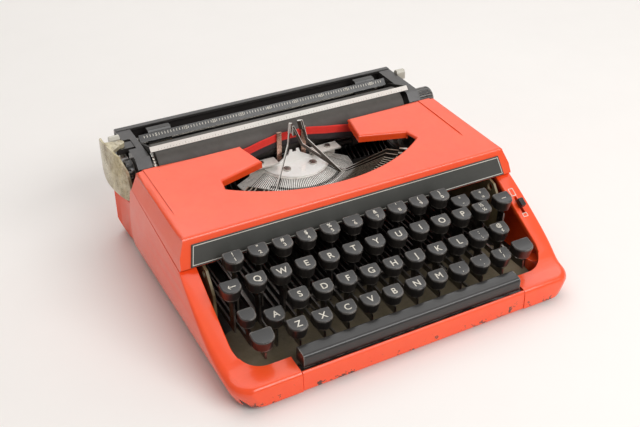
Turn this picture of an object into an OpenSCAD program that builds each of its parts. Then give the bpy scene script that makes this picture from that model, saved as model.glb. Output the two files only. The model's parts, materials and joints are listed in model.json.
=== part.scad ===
// Portable typewriter: moulded case, lift-off ribbon cover, key levers, type basket and sliding carriage.
// Millimetres, +Z up. The origin is on the ground under the middle of the machine, the keys face -Y.

/* [Case] */
// Width of the case across its bulging sides
case_w = 289; // [280:1:300]
// Front face of the case, forward of the middle
case_front = 133; // [131:1:138]
// Rear face of the case, behind the middle
case_rear = 118; // [117:0.5:120]
// Wall thickness of the case
wall = 3; // [2:0.5:4]
// Height of the front lip
lip_z = 20; // [18:0.5:21]
// Height of the seam with the cover at its front end
seam_front_z = 60; // [57:0.5:61]
// Height of the seam with the cover at its rear end
seam_rear_z = 70; // [68:0.5:72]
// Width of the rails beside the keyboard
rail_w = 15; // [12:0.5:17]
// Height of the case wall in the scoop below the carriage ends
scoop_z = 41; // [36:0.5:41.5]
// Half length of the apron between its two part lines
apron_half = 93; // [92:0.5:98]
// Height of the rubber feet
foot_h = 4; // [3:0.5:4]
// Radius of the rubber feet
foot_r = 8; // [6:0.5:10]

/* [Cover] */
// Height of the cover at its rear edge
cover_z = 84.4; // [84:0.2:86]
// Wall thickness of the cover
cover_t = 2.5; // [1.5:0.25:3]
// Radius of the curved front edge of the type opening
opening_r = 137; // [134:1:140]
// Depth of the lips round the ears of the type opening
lip_drop = 7; // [4:0.5:7]

/* [Keyboard] */
// Width of a key cap
cap_w = 14.6; // [13:0.2:15.6]
// Height of a key cap
cap_h = 12; // [9:0.5:12.5]
// Forward tilt of the key caps in degrees
cap_tilt = 12; // [6:1:16]
// Thickness of a key lever
lever_t = 1.4; // [1:0.1:1.6]
// Radius of the shaft that carries the key levers
shaft_r = 2.5; // [2:0.1:3]
// Length of the space bar
space_w = 181; // [160:1:182]

/* [Type basket] */
// Number of typebars
bar_count = 44; // [40:1:44]
// Thickness of a typebar
bar_t = 1; // [0.8:0.05:1.1]
// Half of the angle that the typebars fan over
fan_half = 52; // [50:0.5:53]
// Radius of the ring on which the typebars pivot
pivot_r = 44; // [43.5:0.25:44.5]
// Radius of the half-round segment plate
plate_r = 28.5; // [26:0.5:28.5]

/* [Ribbon] */
// Width of the ribbon
ribbon_w = 12.7; // [11:0.1:12.7]
// Radius of a ribbon spool
spool_r = 20; // [18.5:0.5:20]

/* [Carriage] */
// Width of the carriage over its end plates
carriage_w = 261; // [259:1:262]
// Radius of the platen
platen_r = 16.5; // [15.5:0.1:16.5]
// Radius of the platen shaft
platen_shaft_r = 4; // [3:0.25:5]
// Radius of the platen knobs
knob_r = 9.8; // [8:0.1:11]
// Length of the right platen knob
knob_len = 19; // [12:0.5:21]
// Height of the rear bar of the carriage
rear_z = 86; // [85:0.5:88]
// Length of a margin stop
stop_w = 20; // [14:1:24]

/* [Hidden] */
$fn = 64;
gap = 0.3;
run = 0.06;
hw = case_w / 2;
floor_z = foot_h;
base_t = 1.5;
base_top = floor_z + base_t;
// Bulge of the case sides: widest height, lower and upper curve radius
bulge_z = 32;
low_r = 60;
high_r = 206;
// Side line of the case
lip_back_y = -113;
lip_fillet = 30;
seam_front_y = -41;
seam_rear_y = 62;
corner_z = 56;
well_front_y = -114.5;
well_r = 20;
rail_slope = (seam_front_z - lip_z) / (seam_front_y - lip_back_y);
// Scoop in the sides below the carriage ends
scoop_y = 86;
scoop_r = 40;
scoop_x = hw + 32;
boss_x = hw - 14.5;
boss_ys = [-96, 109];
foot_x = hw - 26;
foot_ys = [-108, 98];
screw_r = 1.55;
// Cover lines
cover_front_y = -43.4;
cover_front_z = 62.3;
cover_brow_y = -36.6;
cover_brow_z = 79.5;
cover_front_top = cover_z - 1.8;
band_x = hw - 25.1;
seam_slope = (seam_rear_z - seam_front_z) / (seam_rear_y - seam_front_y);
ear_x = 43.5;
ear_y = 33;
ear_back_x = 49;
ear_back_y = 58.5;
mouth_x = 84;
mouth_y = 10;
mouth_in_x = 82;
mouth_in_y = 21.5;
// Key levers
lever_shaft_y = 96;
lever_shaft_z = 36;
lever_z0 = 22;
lever_z1 = 27;
row_y = [-55.3, -72.4, -89.5, -106.5];
row_z = [70.9, 60.8, 50.6, 40.5];
// Key spacing from the width of the well, and the first key of each row in key spacings
key_pitch = (case_w - 2 * rail_w) / 13.596;
row_x = [-5.6252, -5.1349, -4.8772, -4.3953] * key_pitch;
shift_x = [-5.7743 * key_pitch, 5.6273 * key_pitch];
lock_x = -5.9528 * key_pitch;
backspace_x = -6.1522 * key_pitch;
margin_key_x = 5.8688 * key_pitch;
key_dip = 10;
cap_back = 5.5;
dish_r = 26;
space_shaft_y = -50;
space_shaft_z = 9.5;
space_shaft_r = 2;
space_arm_x = [-52.4, 61.9];
// Side frames
frame_x = hw - 21.5;
frame_t = 2;
// Type basket: centre line, pivot height and the bend and tip of a raised bar
basket_y = 67;
pivot_z = 49.5;
bend_r = 8;
bend_z = 71;
tip_r = 0.5;
tip_z = 87;
drop = 116;
wire_r = 0.9;
arm_w = 2.6;
head_w = 2.4;
bar_pitch = 2 * fan_half / (bar_count - 1);
bar_a = 3;
bar_hyphen = bar_count - 4;
bar_equals = bar_count - 2;
back_a = 8;
back_hyphen = 10;
back_equals = 0;
slot_w = bar_t + 0.4;
comb_w = 0.6;
cross_z = 40;
// Ribbon
spool_x = frame_x - spool_r - 2;
spool_y = 40;
spool_z = 61.8;
pack_r = 17;
ribbon_t = 0.5;
ribbon_y = 70.35;
ribbon_low_z = spool_z + 1.3;
ribbon_high_z = 68.5;
ribbon_mid_x = 13.8;
ribbon_turn_x = spool_x - 19;
// Carriage
end_x1 = carriage_w / 2;
end_x0 = end_x1 - 11.8;
inner_x = end_x0 - 0.3;
platen_y = 88.5;
platen_z = 70;
platen_half = end_x0 - 5.2;
roller_x = [-0.7, -0.22, 0.22, 0.7] * platen_half;
knob_x = end_x1 + 0.5;
knob_end = knob_x + knob_len;
feed_y = 82.9;
feed_z = 48.9;
feed_r = 4.7;
bail_y = 106;
bail_z = 80;
release_y = 113;
release_z = 71;
lever_x = -end_x1 - 4;
blade_r = 40;
lever_y = 104;
rail_top = 59.7;
drum_x = -frame_x + 31;
drum_y = 84;
bell_x = frame_x - 35;
rail_half = frame_x - 2;
bed_half = boss_x - 5.9;

// Points on an arc from angle a0 to a1
function arc(cx, cy, r, a0, a1, n) =
    [for (i = [0:n]) let (a = a0 + (a1 - a0) * i / n) [cx + r * cos(a), cy + r * sin(a)]];
function mirrored(pts) = [for (i = [len(pts) - 1:-1:0]) [-pts[i][0], pts[i][1]]];
// Press angle of a key at the given distance in front of its shaft
function press(y) = asin(key_dip / (lever_shaft_y - y));
function bar_angle(i) = -fan_half + i * bar_pitch;

// Draws a (y, z) outline along X
module along_x(x0, x1) {
    translate([x0, 0, 0])
        rotate([90, 0, 90])
            linear_extrude(x1 - x0)
                children();
}

// Draws an (x, z) outline along Y
module along_y(y0, y1) {
    translate([0, y1, 0])
        rotate([90, 0, 0])
            linear_extrude(y1 - y0)
                children();
}

// Draws a (z, x) round from x0 to x1 about an axis along X at (y, z)
module rod_x(x0, x1, y, z, r) {
    translate([x0, y, z])
        rotate([0, 90, 0])
            cylinder(r = r, h = x1 - x0);
}

module both_sides() {
    children();
    mirror([1, 0, 0])
        children();
}

module rounded_square(x0, y0, x1, y1, r) {
    for (x = [x0 + r, x1 - r])
        for (y = [y0 + r, y1 - r])
            translate([x, y])
                circle(r);
    translate([x0 + r, y0])
        square([x1 - x0 - 2 * r, y1 - y0]);
    translate([x0, y0 + r])
        square([x1 - x0, y1 - y0 - 2 * r]);
}

// Half of the case section, inset by d
function case_half(d) = concat(
    arc(hw - low_r, bulge_z, low_r - d, -36, 0, 8),
    arc(hw - high_r, bulge_z, high_r - d, 1.5, 17, 6));
function case_section(d) = concat(case_half(d), mirrored(case_half(d)));

// Side line of the case with its lip, rails, seam and scoop
function case_line() = concat(
    [[-case_front, floor_z], [-case_front + 1, lip_z - 4]],
    arc(-case_front + 5, lip_z - 4, 4, 180, 90, 4),
    arc(lip_back_y - lip_fillet * tan(atan(rail_slope) / 2), lip_z + lip_fillet, lip_fillet, 270,
        270 + atan(rail_slope), 5),
    [[seam_front_y, seam_front_z], [seam_rear_y, seam_rear_z],
        [seam_rear_y + 2, seam_rear_z - 2], [seam_rear_y + 3, scoop_z + 6]],
    arc(seam_rear_y + 9, scoop_z + 6, 6, 180, 270, 4),
    arc(100, scoop_z + 8, 8, 270, 360, 4),
    [[109, corner_z - 2], [111, corner_z]],
    arc(case_rear - 3, corner_z - 3, 3, 90, 0, 3),
    [[case_rear, floor_z]]);

module case_solid() {
    intersection() {
        along_y(-200, 200)
            polygon(case_section(0));
        along_x(-200, 200)
            polygon(case_line());
        linear_extrude(100)
            rounded_square(-hw, -case_front, hw, case_rear, 18);
    }
}

// Room inside the case: under the rails at the front, open to the top behind them
module case_room() {
    y0 = -case_front + wall;
    y1 = case_rear - wall;
    open_y = seam_front_y + 3;
    top = seam_front_z + 3 * rail_slope - 1.2 * wall;
    difference() {
        intersection() {
            along_y(-200, 200)
                polygon(case_section(wall));
            along_x(-200, 200)
                polygon([[y0, -2], [y0, lip_z - wall], [lip_back_y + 1, lip_z - wall], [open_y, top],
                    [open_y, 100], [y1, 100], [y1, -2]]);
            translate([0, 0, -5])
                linear_extrude(110)
                    rounded_square(-hw + wall, y0, hw - wall, y1, 15);
        }
        both_sides()
            translate([scoop_x, scoop_y, -5])
                cylinder(r = scoop_r + wall, h = 120, $fn = 96);
    }
}

module case_shell() {
    color("coral")
        difference() {
            union() {
                difference() {
                    case_solid();
                    case_room();
                    // keyboard well and the bay of the space bar
                    linear_extrude(100)
                        rounded_square(-hw + rail_w, well_front_y, hw - rail_w, seam_front_y + 20, well_r);
                    translate([-apron_half - gap, -case_front - 1, -1])
                        cube([2 * apron_half + 2 * gap, case_front + well_front_y + 6, 80]);
                    both_sides()
                        translate([scoop_x, scoop_y, -1])
                            cylinder(r = scoop_r, h = 120, $fn = 96);
                }
                // screw bosses tied to the walls
                intersection() {
                    case_solid();
                    both_sides()
                        for (y = boss_ys) {
                            translate([boss_x, y, base_top])
                                cylinder(r = 5.5, h = 10);
                            translate([boss_x, y - 2.5, base_top])
                                cube([hw - boss_x, 5, 10]);
                        }
                }
            }
            both_sides()
                for (y = boss_ys)
                    translate([boss_x, y, base_top - 1])
                        cylinder(r = screw_r + 0.05, h = 9);
            // slot of the ribbon selector in the right rail
            translate([hw - 10.5, -73, 40])
                cube([2.6, 14, 30]);
        }
}

module front_apron() {
    y0 = -case_front + 0.4;
    color("coral")
        along_x(-apron_half, apron_half)
            polygon([[y0, floor_z], [y0 + 0.8, lip_z - 2], [y0 + 2.2, lip_z - 0.3], [y0 + 3.2, lip_z - 0.3],
                [y0 + 3.2, base_top], [y0 + 10, base_top], [y0 + 10, floor_z]]);
}

module base_plate() {
    color("darkslategray")
        difference() {
            union() {
                translate([0, 0, floor_z])
                    linear_extrude(base_t)
                        rounded_square(-hw + 11.2, -case_front + 11.5, hw - 11.2, case_rear - wall - 0.5, 9);
                // spindle of the mainspring drum
                translate([drum_x, drum_y, floor_z])
                    cylinder(r = 2, h = 16);
            }
            both_sides()
                for (y = boss_ys)
                    translate([boss_x, y, floor_z - 1])
                        cylinder(r = screw_r + 0.2, h = 4);
        }
}

module rubber_feet() {
    color("black")
        both_sides()
            for (y = foot_ys)
                translate([foot_x, y, 0])
                    cylinder(r1 = foot_r - 1, r2 = foot_r, h = foot_h);
}

module screws() {
    color("silver") {
        both_sides()
            for (y = boss_ys) {
                translate([boss_x, y, floor_z - 1.2])
                    cylinder(r = 3.4, h = 1.2);
                translate([boss_x, y, floor_z - 0.5])
                    cylinder(r = screw_r, h = 8);
            }
        both_sides()
            translate([12, basket_y - 14, 56.2])
                difference() {
                    cylinder(r = 3.2, h = 1.6);
                    translate([-4, -0.4, 0.9])
                        cube([8, 0.8, 1]);
                }
        both_sides()
            translate([31, 63, 62])
                difference() {
                    cylinder(r = 2.6, h = 1.4);
                    translate([-4, -0.35, 0.8])
                        cube([8, 0.7, 1]);
                }
    }
}

module side_frames() {
    color("olivedrab")
        both_sides()
            along_x(frame_x, frame_x + frame_t)
                difference() {
                    polygon([[-60, base_top], [-57, 44], [-46, 58], [-30, 61], [56, 61], [65, 40],
                        [100, 40], [102.6, 37], [102.6, base_top]]);
                    translate([lever_shaft_y, lever_shaft_z])
                        circle(shaft_r + 0.05);
                    translate([-42, 53])
                        circle(3);
                }
}

module cross_plate() {
    color("dimgray")
        along_x(-frame_x + 0.2, frame_x - 0.2)
            polygon([[40, cross_z - 3.4], [40, cross_z], [66, cross_z], [66, cross_z - 8], [64, cross_z - 8],
                [64, cross_z - 3.4]]);
}

module keyboard_bed() {
    color("darkolivegreen")
        translate([0, 0, base_top + 0.1])
            linear_extrude(1.4)
                rounded_square(-bed_half, -110, bed_half, -56, 14);
}

module key_shafts() {
    color("silver") {
        rod_x(-frame_x - frame_t + 0.2, frame_x + frame_t - 0.2, lever_shaft_y, lever_shaft_z, shaft_r);
        rod_x(-62, 72, space_shaft_y, space_shaft_z, space_shaft_r);
        for (x = [-62, 69])
            along_x(x, x + 3)
                polygon([[space_shaft_y - 4, base_top], [space_shaft_y - 2.5, 11.5], [space_shaft_y + 2.5, 11.5],
                    [space_shaft_y + 4, base_top]]);
    }
}

// Places a (radius, z) outline of the given thickness in the upright plane of the bar at angle phi
module in_fan(phi, t) {
    translate([0, basket_y, 0])
        rotate([0, 0, phi - 90])
            rotate([90, 0, 0])
                linear_extrude(t, center = true)
                    children();
}

// Spins an outline about the basket centre line over the front of the machine
module fan_ring(half) {
    translate([0, basket_y, 0])
        rotate([0, 0, -90 - half])
            rotate_extrude(angle = 2 * half, $fn = 128)
                children();
}

module type_segment() {
    color("lightgray")
        difference() {
            fan_ring(88)
                polygon([[24, cross_z], [24, 55], [32, 55], [52, 46], [52, cross_z]]);
            for (i = [0:bar_count - 1])
                translate([0, basket_y, 0])
                    rotate([0, 0, bar_angle(i) - 90])
                        translate([39, -slot_w / 2, 45])
                            cube([20, slot_w, 20]);
            for (i = [-9:bar_count + 8])
                translate([0, basket_y, 0])
                    rotate([0, 0, bar_angle(i) - 90])
                        translate([plate_r + 1.7, -comb_w / 2, 45.6])
                            cube([30, comb_w, 20]);
            for (i = [bar_a, bar_hyphen, bar_equals])
                translate([0, basket_y, 0])
                    rotate([0, 0, bar_angle(i) - 90])
                        translate([30.8, -slot_w / 2, 45])
                            cube([12, slot_w, 20]);
            fan_ring(fan_half + 4)
                translate([pivot_r, pivot_z])
                    circle(wire_r + 0.05, $fn = 24);
        }
}

module segment_plate() {
    color("white") {
        translate([0, 0, 55])
            linear_extrude(1.2)
                intersection() {
                    translate([0, basket_y])
                        circle(plate_r, $fn = 96);
                    translate([-50, basket_y - 60])
                        square([100, 59]);
                }
        // notched guide at the printing point
        along_y(basket_y - 3.4, basket_y - 2.2)
            polygon([[-17, 56.2], [-5.5, 63], [-4.2, 67], [-1.8, 67], [-1.8, 64.5], [1.8, 64.5], [1.8, 67],
                [4.2, 67], [5.5, 63], [17, 56.2]]);
    }
}

module pivot_wire() {
    color("silver")
        fan_ring(fan_half + 3.8)
            translate([pivot_r, pivot_z])
                circle(wire_r, $fn = 24);
}

// Side view of a raised typebar, swung outward by the angle a
module bar_outline(a) {
    arm = atan2(bend_z - pivot_z, bend_r - pivot_r);
    head = atan2(tip_z - bend_z, tip_r - bend_r);
    arm_l = norm([bend_z - pivot_z, bend_r - pivot_r]);
    head_l = norm([tip_z - bend_z, tip_r - bend_r]);
    translate([pivot_r, pivot_z])
        rotate(-a)
            difference() {
                union() {
                    circle(2.8);
                    rotate(arm)
                        translate([0, -arm_w / 2])
                            square([arm_l, arm_w]);
                    rotate(arm)
                        translate([arm_l, 0])
                            circle(arm_w / 2);
                    rotate(arm)
                        translate([arm_l, 0])
                            rotate(head - arm)
                                translate([0, -head_w / 2])
                                    square([head_l, head_w]);
                }
                circle(wire_r + 0.15, $fn = 24);
            }
}

// Type slug at the end of the head, drawn as a side view
module slug_outline(a) {
    arm = atan2(bend_z - pivot_z, bend_r - pivot_r);
    head = atan2(tip_z - bend_z, tip_r - bend_r);
    arm_l = norm([bend_z - pivot_z, bend_r - pivot_r]);
    head_l = norm([tip_z - bend_z, tip_r - bend_r]);
    translate([pivot_r, pivot_z])
        rotate(-a)
            rotate(arm)
                translate([arm_l, 0])
                    rotate(head - arm)
                        translate([head_l - 8, 0])
                            square([8, 3.4]);
}

module typebar(i, a) {
    in_fan(bar_angle(i), bar_t)
        bar_outline(a);
    in_fan(bar_angle(i), 2.4)
        slug_outline(a);
}

module typebars() {
    color("gray")
        for (i = [0:bar_count - 1])
            if (i != bar_a && i != bar_hyphen && i != bar_equals)
                typebar(i, drop);
}

module typebar_a() {
    color("gray")
        typebar(bar_a, back_a);
}

module typebar_hyphen() {
    color("gray")
        typebar(bar_hyphen, back_hyphen);
}

module typebar_equals() {
    color("gray")
        typebar(bar_equals, back_equals);
}

module basket_pan() {
    color("darkslategray")
        fan_ring(fan_half + 4)
            polygon([[52.4, cross_z], [53.8, cross_z], [84, 65.5], [91, 65.5], [91, 66.7], [83.4, 66.7]]);
}

module type_rest() {
    color("saddlebrown")
        fan_ring(fan_half + 3.5)
            translate([85, 66.7])
                square([5.5, 3.6]);
}

module vibrator_bracket() {
    color("gainsboro") {
        along_y(66.3, 68.2)
            polygon([[-40, cross_z - 6], [-40, 60.5], [-16, 60.5], [-16, 52], [16, 52], [16, 60.5], [40, 60.5],
                [40, cross_z - 6]]);
        both_sides()
            translate([17, 57.5, 60.5])
                cube([24, 10.7, 1.5]);
    }
}

module ribbon_vibrator() {
    color("rosybrown")
        along_y(68.6, 69.9)
            polygon([[-13.5, 46], [-13.5, 83], [-9, 83], [-9, 56], [9, 56], [9, 83], [13.5, 83], [13.5, 46]]);
}

// Upright strip of ribbon between two plan points whose lower edges lie at za and zb
module ribbon_strip(a, b, za, zb) {
    polyhedron(
        points = [[a[0], a[1], za], [b[0], b[1], zb], [b[0], b[1] + ribbon_t, zb], [a[0], a[1] + ribbon_t, za],
            [a[0], a[1], za + ribbon_w], [b[0], b[1], zb + ribbon_w], [b[0], b[1] + ribbon_t, zb + ribbon_w],
            [a[0], a[1] + ribbon_t, za + ribbon_w]],
        faces = [[0, 1, 2, 3], [7, 6, 5, 4], [0, 4, 5, 1], [1, 5, 6, 2], [2, 6, 7, 3], [3, 7, 4, 0]]);
}

module ribbon() {
    exit_x = spool_x + 2;
    exit_y = spool_y + pack_r + 0.25;
    turn_y = exit_y + (exit_x - ribbon_turn_x) * (ribbon_y - exit_y) / (exit_x - ribbon_mid_x);
    color("firebrick") {
        both_sides() {
            ribbon_strip([ribbon_mid_x, ribbon_y], [ribbon_turn_x, turn_y], ribbon_high_z, ribbon_low_z);
            ribbon_strip([ribbon_turn_x, turn_y], [exit_x, exit_y], ribbon_low_z, ribbon_low_z);
        }
        translate([-ribbon_mid_x, ribbon_y, ribbon_high_z])
            cube([2 * ribbon_mid_x, ribbon_t, ribbon_w]);
    }
}

module spool_cups() {
    color("slategray")
        both_sides() {
            translate([spool_x, spool_y, 59.5]) {
                cylinder(r = spool_r + 1.5, h = 1.5);
                difference() {
                    cylinder(r = spool_r + 1.5, h = 3);
                    translate([0, 0, -1])
                        cylinder(r = spool_r + 0.4, h = 6);
                }
                cylinder(r = 2, h = 19);
            }
            translate([spool_x, 52, cross_z])
                cylinder(r = 4, h = 59.8 - cross_z);
        }
}

module spool() {
    difference() {
        union() {
            cylinder(r = spool_r, h = 1);
            translate([0, 0, 1])
                cylinder(r = pack_r, h = ribbon_w + 0.6);
            translate([0, 0, ribbon_w + 1.6])
                cylinder(r = spool_r, h = 1);
            translate([0, 0, ribbon_w + 2.6])
                cylinder(r = 5, h = 1);
        }
        translate([0, 0, -1])
            cylinder(r = 2 + run, h = 30);
        for (i = [0:4])
            rotate([0, 0, 72 * i])
                translate([11.5, 0, ribbon_w + 2])
                    cylinder(r = 2.6, h = 2);
    }
}

module spool_left() {
    color("silver")
        translate([-spool_x, spool_y, spool_z])
            spool();
}

module spool_right() {
    color("silver")
        translate([spool_x, spool_y, spool_z])
            spool();
}

module carriage_rail() {
    color("silver")
        along_x(-rail_half, rail_half)
            polygon([[110.5, base_top], [110.5, rail_top - 3.2], [108.6, rail_top - 3.2], [108.6, rail_top],
                [113, rail_top], [113, rail_top + 2.3], [116, rail_top + 2.3], [116, rail_top],
                [120, rail_top], [120, rail_top - 3.2], [113.5, rail_top - 3.2], [113.5, base_top]]);
}

module mainspring_drum() {
    color("goldenrod")
        translate([drum_x, drum_y, base_top + gap])
            difference() {
                union() {
                    cylinder(r = 17, h = 1.5);
                    cylinder(r = 15, h = 11);
                    translate([0, 0, 9.5])
                        cylinder(r = 17, h = 1.5);
                }
                translate([0, 0, -1])
                    cylinder(r = 2 + run, h = 20);
            }
}

module margin_bell() {
    color("lightgray")
        translate([bell_x, 82, base_top]) {
            cylinder(r = 2.4, h = 5);
            translate([0, 0, 4.5])
                rotate_extrude()
                    polygon(concat([[0, 13]], arc(0, 0, 13, 80, 10, 8), [[13.4, 1.2], [12.2, 1.2]],
                        arc(0, 0, 11.6, 10, 80, 8), [[0, 11.6]]));
            cylinder(r = 1.4, h = 17);
        }
}

// Half of the cover section, inset by d
function cover_half(d) = concat(
    [[hw - 1.4 - d, 52], [hw - 3.6 - d, 70]],
    arc(hw - 12.4 - d, cover_z - 4.1 - d, 4.4, 0, 90, 5));
function cover_section(d) = concat(cover_half(d), mirrored(cover_half(d)));

// Outer side line of the cover, run on past its rear edge
function cover_line() = concat(
    [[seam_rear_y + 8, seam_rear_z + gap + 8 * seam_slope], [seam_front_y, seam_front_z + gap],
        [cover_front_y, cover_front_z], [cover_brow_y, cover_brow_z]],
    arc(cover_brow_y + 3.6, cover_front_top - 3.5, 3.5, 165, 95, 4),
    [[seam_rear_y + 8, cover_z + 0.15]]);

module cover_solid() {
    intersection() {
        along_y(-80, 80)
            polygon(cover_section(0));
        along_x(-200, 200)
            polygon(cover_line());
    }
}

// Room under the cover, open below and behind
module cover_room() {
    intersection() {
        along_y(-80, 90)
            polygon(cover_section(cover_t));
        along_x(-200, 200)
            polygon([[90, 20], [cover_front_y - 14 + cover_t, 20], [cover_front_y + cover_t, cover_front_z],
                [cover_brow_y + cover_t, cover_brow_z], [cover_brow_y + 3.6 + cover_t, cover_front_top - cover_t],
                [90, cover_z - cover_t + 0.6]]);
    }
}

// Strip along the line from a to b and a little past both, reaching w to its right and 1 to its left
module edge_strip(a, b, w) {
    translate(a)
        rotate(atan2(b[1] - a[1], b[0] - a[0]))
            translate([-1.3, -w])
                square([norm(b - a) + 2.6, w + 1]);
}

module type_mouth() {
    translate([0, 0, 60])
        linear_extrude(60)
            intersection() {
                translate([0, opening_r - 19])
                    circle(opening_r, $fn = 180);
                polygon([[mouth_x, -60], [mouth_x, mouth_y], [mouth_in_x, mouth_in_y], [ear_x, ear_y],
                    [ear_back_x, ear_back_y], [ear_back_x + 0.5, 90], [-ear_back_x - 0.5, 90],
                    [-ear_back_x, ear_back_y], [-ear_x, ear_y], [-mouth_in_x, mouth_in_y],
                    [-mouth_x, mouth_y], [-mouth_x, -60]]);
            }
}

module ribbon_cover() {
    color("coral")
        difference() {
            union() {
                difference() {
                    cover_solid();
                    cover_room();
                }
                // lips round the ears
                both_sides()
                    translate([0, 0, cover_z - lip_drop])
                        linear_extrude(lip_drop - 1.4) {
                            edge_strip([mouth_in_x, mouth_in_y], [ear_x, ear_y], 2.2);
                            edge_strip([ear_x, ear_y], [ear_back_x, ear_back_y], 2.2);
                        }
                // raised bands along both sides
                both_sides()
                    along_x(band_x, band_x + 11)
                        polygon([[-9, cover_z - 2.2], [-9, cover_front_top + 0.2], [0, cover_z - 0.5],
                            [seam_rear_y + 6, cover_z + 0.8], [seam_rear_y + 6, cover_z - 1.6]]);
            }
            type_mouth();
            translate([-200, seam_rear_y - gap, 0])
                cube([400, 100, 200]);
        }
}

module front_panel() {
    dy = cover_brow_y - cover_front_y;
    dz = cover_brow_z - cover_front_z;
    l = norm([dy, dz]);
    f = [dy / l, dz / l];
    n = [-f[1], f[0]];
    p = [cover_front_y, cover_front_z] + 0.4 * f + 0.02 * n;
    q = p + 16 * f;
    color("dimgray")
        intersection() {
            along_x(-hw, hw)
                polygon([p, q, q + n, p + n]);
            along_y(-80, 0)
                polygon([[-hw + 9.3, 60], [hw - 9.3, 60], [hw - 14.2, 80], [-hw + 14.2, 80]]);
        }
}

module end_plate(recess) {
    difference() {
        union() {
            along_x(end_x0, end_x1)
                polygon([[73, 62], [73, 78], [79, 85], [126.8, 85.3], [126.8, rail_top + 2.7], [108, rail_top + 2.7],
                    [107, 60], [75, 60]]);
            along_x(end_x0, end_x0 + 3)
                polygon([[77, 44.6], [89, 44.6], [91, 60.1], [75, 60.1]]);
        }
        rod_x(end_x0 - 10, end_x1 + 10, platen_y, platen_z, platen_shaft_r + run);
        rod_x(end_x0 - 10, end_x1 + 10, release_y, release_z, 2 + run);
        rod_x(end_x0 - 10, end_x0 + 5, bail_y, bail_z, 1.5 + run);
        rod_x(end_x0 - 10, end_x1 + 10, feed_y, feed_z, 2 + run);
        if (recess)
            translate([end_x0 + 5.2, 95, 76])
                cube([20, 16.5, 20]);
    }
}

module end_plates() {
    color("dimgray") {
        end_plate(false);
        difference() {
            union() {
                mirror([1, 0, 0])
                    end_plate(true);
                // lug that carries the return lever
                translate([lever_x - 4.5, lever_y - 5, 80])
                    cube([-end_x0 - 4.7 - lever_x + 4.5, 10, 4.5]);
            }
            translate([lever_x, lever_y, 60])
                cylinder(r = 2 + run, h = 30);
        }
    }
}

module carriage_bed() {
    color("dimgray")
        along_x(-inner_x, inner_x)
            polygon([[108, 60], [108, 66], [124, 66], [124, 63], [130.3, 63], [130.3, 60],
                [116.3, 60], [116.3, rail_top + 2.6], [112.7, rail_top + 2.6], [112.7, 60]]);
}

module platen() {
    color("dimgray")
        difference() {
            rod_x(-platen_half, platen_half, platen_y, platen_z, platen_r);
            rod_x(-platen_half - 10, platen_half + 10, platen_y, platen_z, platen_shaft_r + 0.02);
        }
}

module platen_shaft() {
    color("silver")
        rod_x(-knob_x - 6, knob_end - 3, platen_y, platen_z, platen_shaft_r);
}

// Platen knob from x0 to x1 with finger grooves and a bore for the shaft
module knob(x0, x1, blind) {
    difference() {
        translate([x0, platen_y, platen_z])
            rotate([0, 90, 0])
                rotate_extrude($fn = 96)
                    polygon(concat([[0, 0], [knob_r, 0]], arc(knob_r - 3, x1 - x0 - 3, 3, 0, 90, 5), [[0, x1 - x0]]));
        rod_x(x0 - 1, x1 - blind, platen_y, platen_z, platen_shaft_r + 0.02);
        for (i = [0:11])
            translate([0, platen_y, platen_z])
                rotate([30 * i, 0, 0])
                    rod_x(x0 + 3, x1 + 1, 0, knob_r + 0.9, 1.7);
    }
}

module knob_left() {
    color("black")
        mirror([1, 0, 0])
            knob(knob_x, knob_x + 7, 0.9);
}

module knob_right() {
    color("black")
        knob(knob_x, knob_end, 2.9);
}

module line_ratchet() {
    n = 30;
    color("silver")
        along_x(-platen_half - 2.4, -platen_half - 0.2)
            translate([platen_y, platen_z])
                difference() {
                    polygon([for (i = [0:2 * n - 1]) let (r = i % 2 == 0 ? 13.6 : 12.2)
                        [r * cos(180 * i / n), r * sin(180 * i / n)]]);
                    circle(platen_shaft_r + 0.02);
                }
}

module feed_roller() {
    color("black") {
        rod_x(-end_x0 - 3, end_x0 + 3, feed_y, feed_z, 2);
        for (x = roller_x)
            rod_x(x - 14, x + 14, feed_y, feed_z, feed_r);
    }
}

module paper_pan() {
    r = 17.4;
    color("slategray")
        difference() {
            along_x(-platen_half + 1, platen_half - 1)
                translate([platen_y, platen_z])
                    difference() {
                        union() {
                            circle(r + 1, $fn = 96);
                            polygon([[r, -6], [r + 1, -6], [r + 2.4, 4], [r + 4.2, 10], [r + 3, 10.1],
                                [r + 1.2, 4]]);
                        }
                        circle(r, $fn = 96);
                        polygon([[0, 0], [-40, -38], [-60, 0], [-60, 60], [0, 60], [40, 60], [r + 0.5, -4],
                            [r - 0.2, -6]]);
                    }
            for (x = roller_x)
                translate([x - 15, 70, 40])
                    cube([30, 22, 25]);
        }
}

module margin_scale() {
    color("dimgray")
        along_x(-inner_x + 2.4, inner_x - 2.4)
            polygon([[108.9, 80.4], [110.3, 80.3], [114, 84.6], [113, 85.4]]);
}

module margin_rail() {
    color("silver")
        translate([-inner_x, 118, 74])
            cube([2 * inner_x, 3, 5]);
}

module rear_bar() {
    color("black")
        along_x(-end_x1, end_x1)
            polygon([[127, rear_z - 2.6], [127, rear_z], [131.6, rear_z], [133, rear_z - 1.6], [133, 61], [130.6, 61],
                [130.6, rear_z - 2.6]]);
}

module margin_stop() {
    along_x(-stop_w / 2, stop_w / 2)
        polygon([[115.6, 73.5], [115.6, 84], [117, 86], [122, 86], [123.4, 84], [123.4, 73.5], [121.3, 73.5],
            [121.3, 79.3], [117.7, 79.3], [117.7, 73.5]]);
}

module margin_stop_left() {
    color("black")
        translate([-inner_x + 21.4, 0, 0])
            margin_stop();
}

module margin_stop_right() {
    color("black")
        translate([inner_x - 20.4, 0, 0])
            margin_stop();
}

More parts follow.
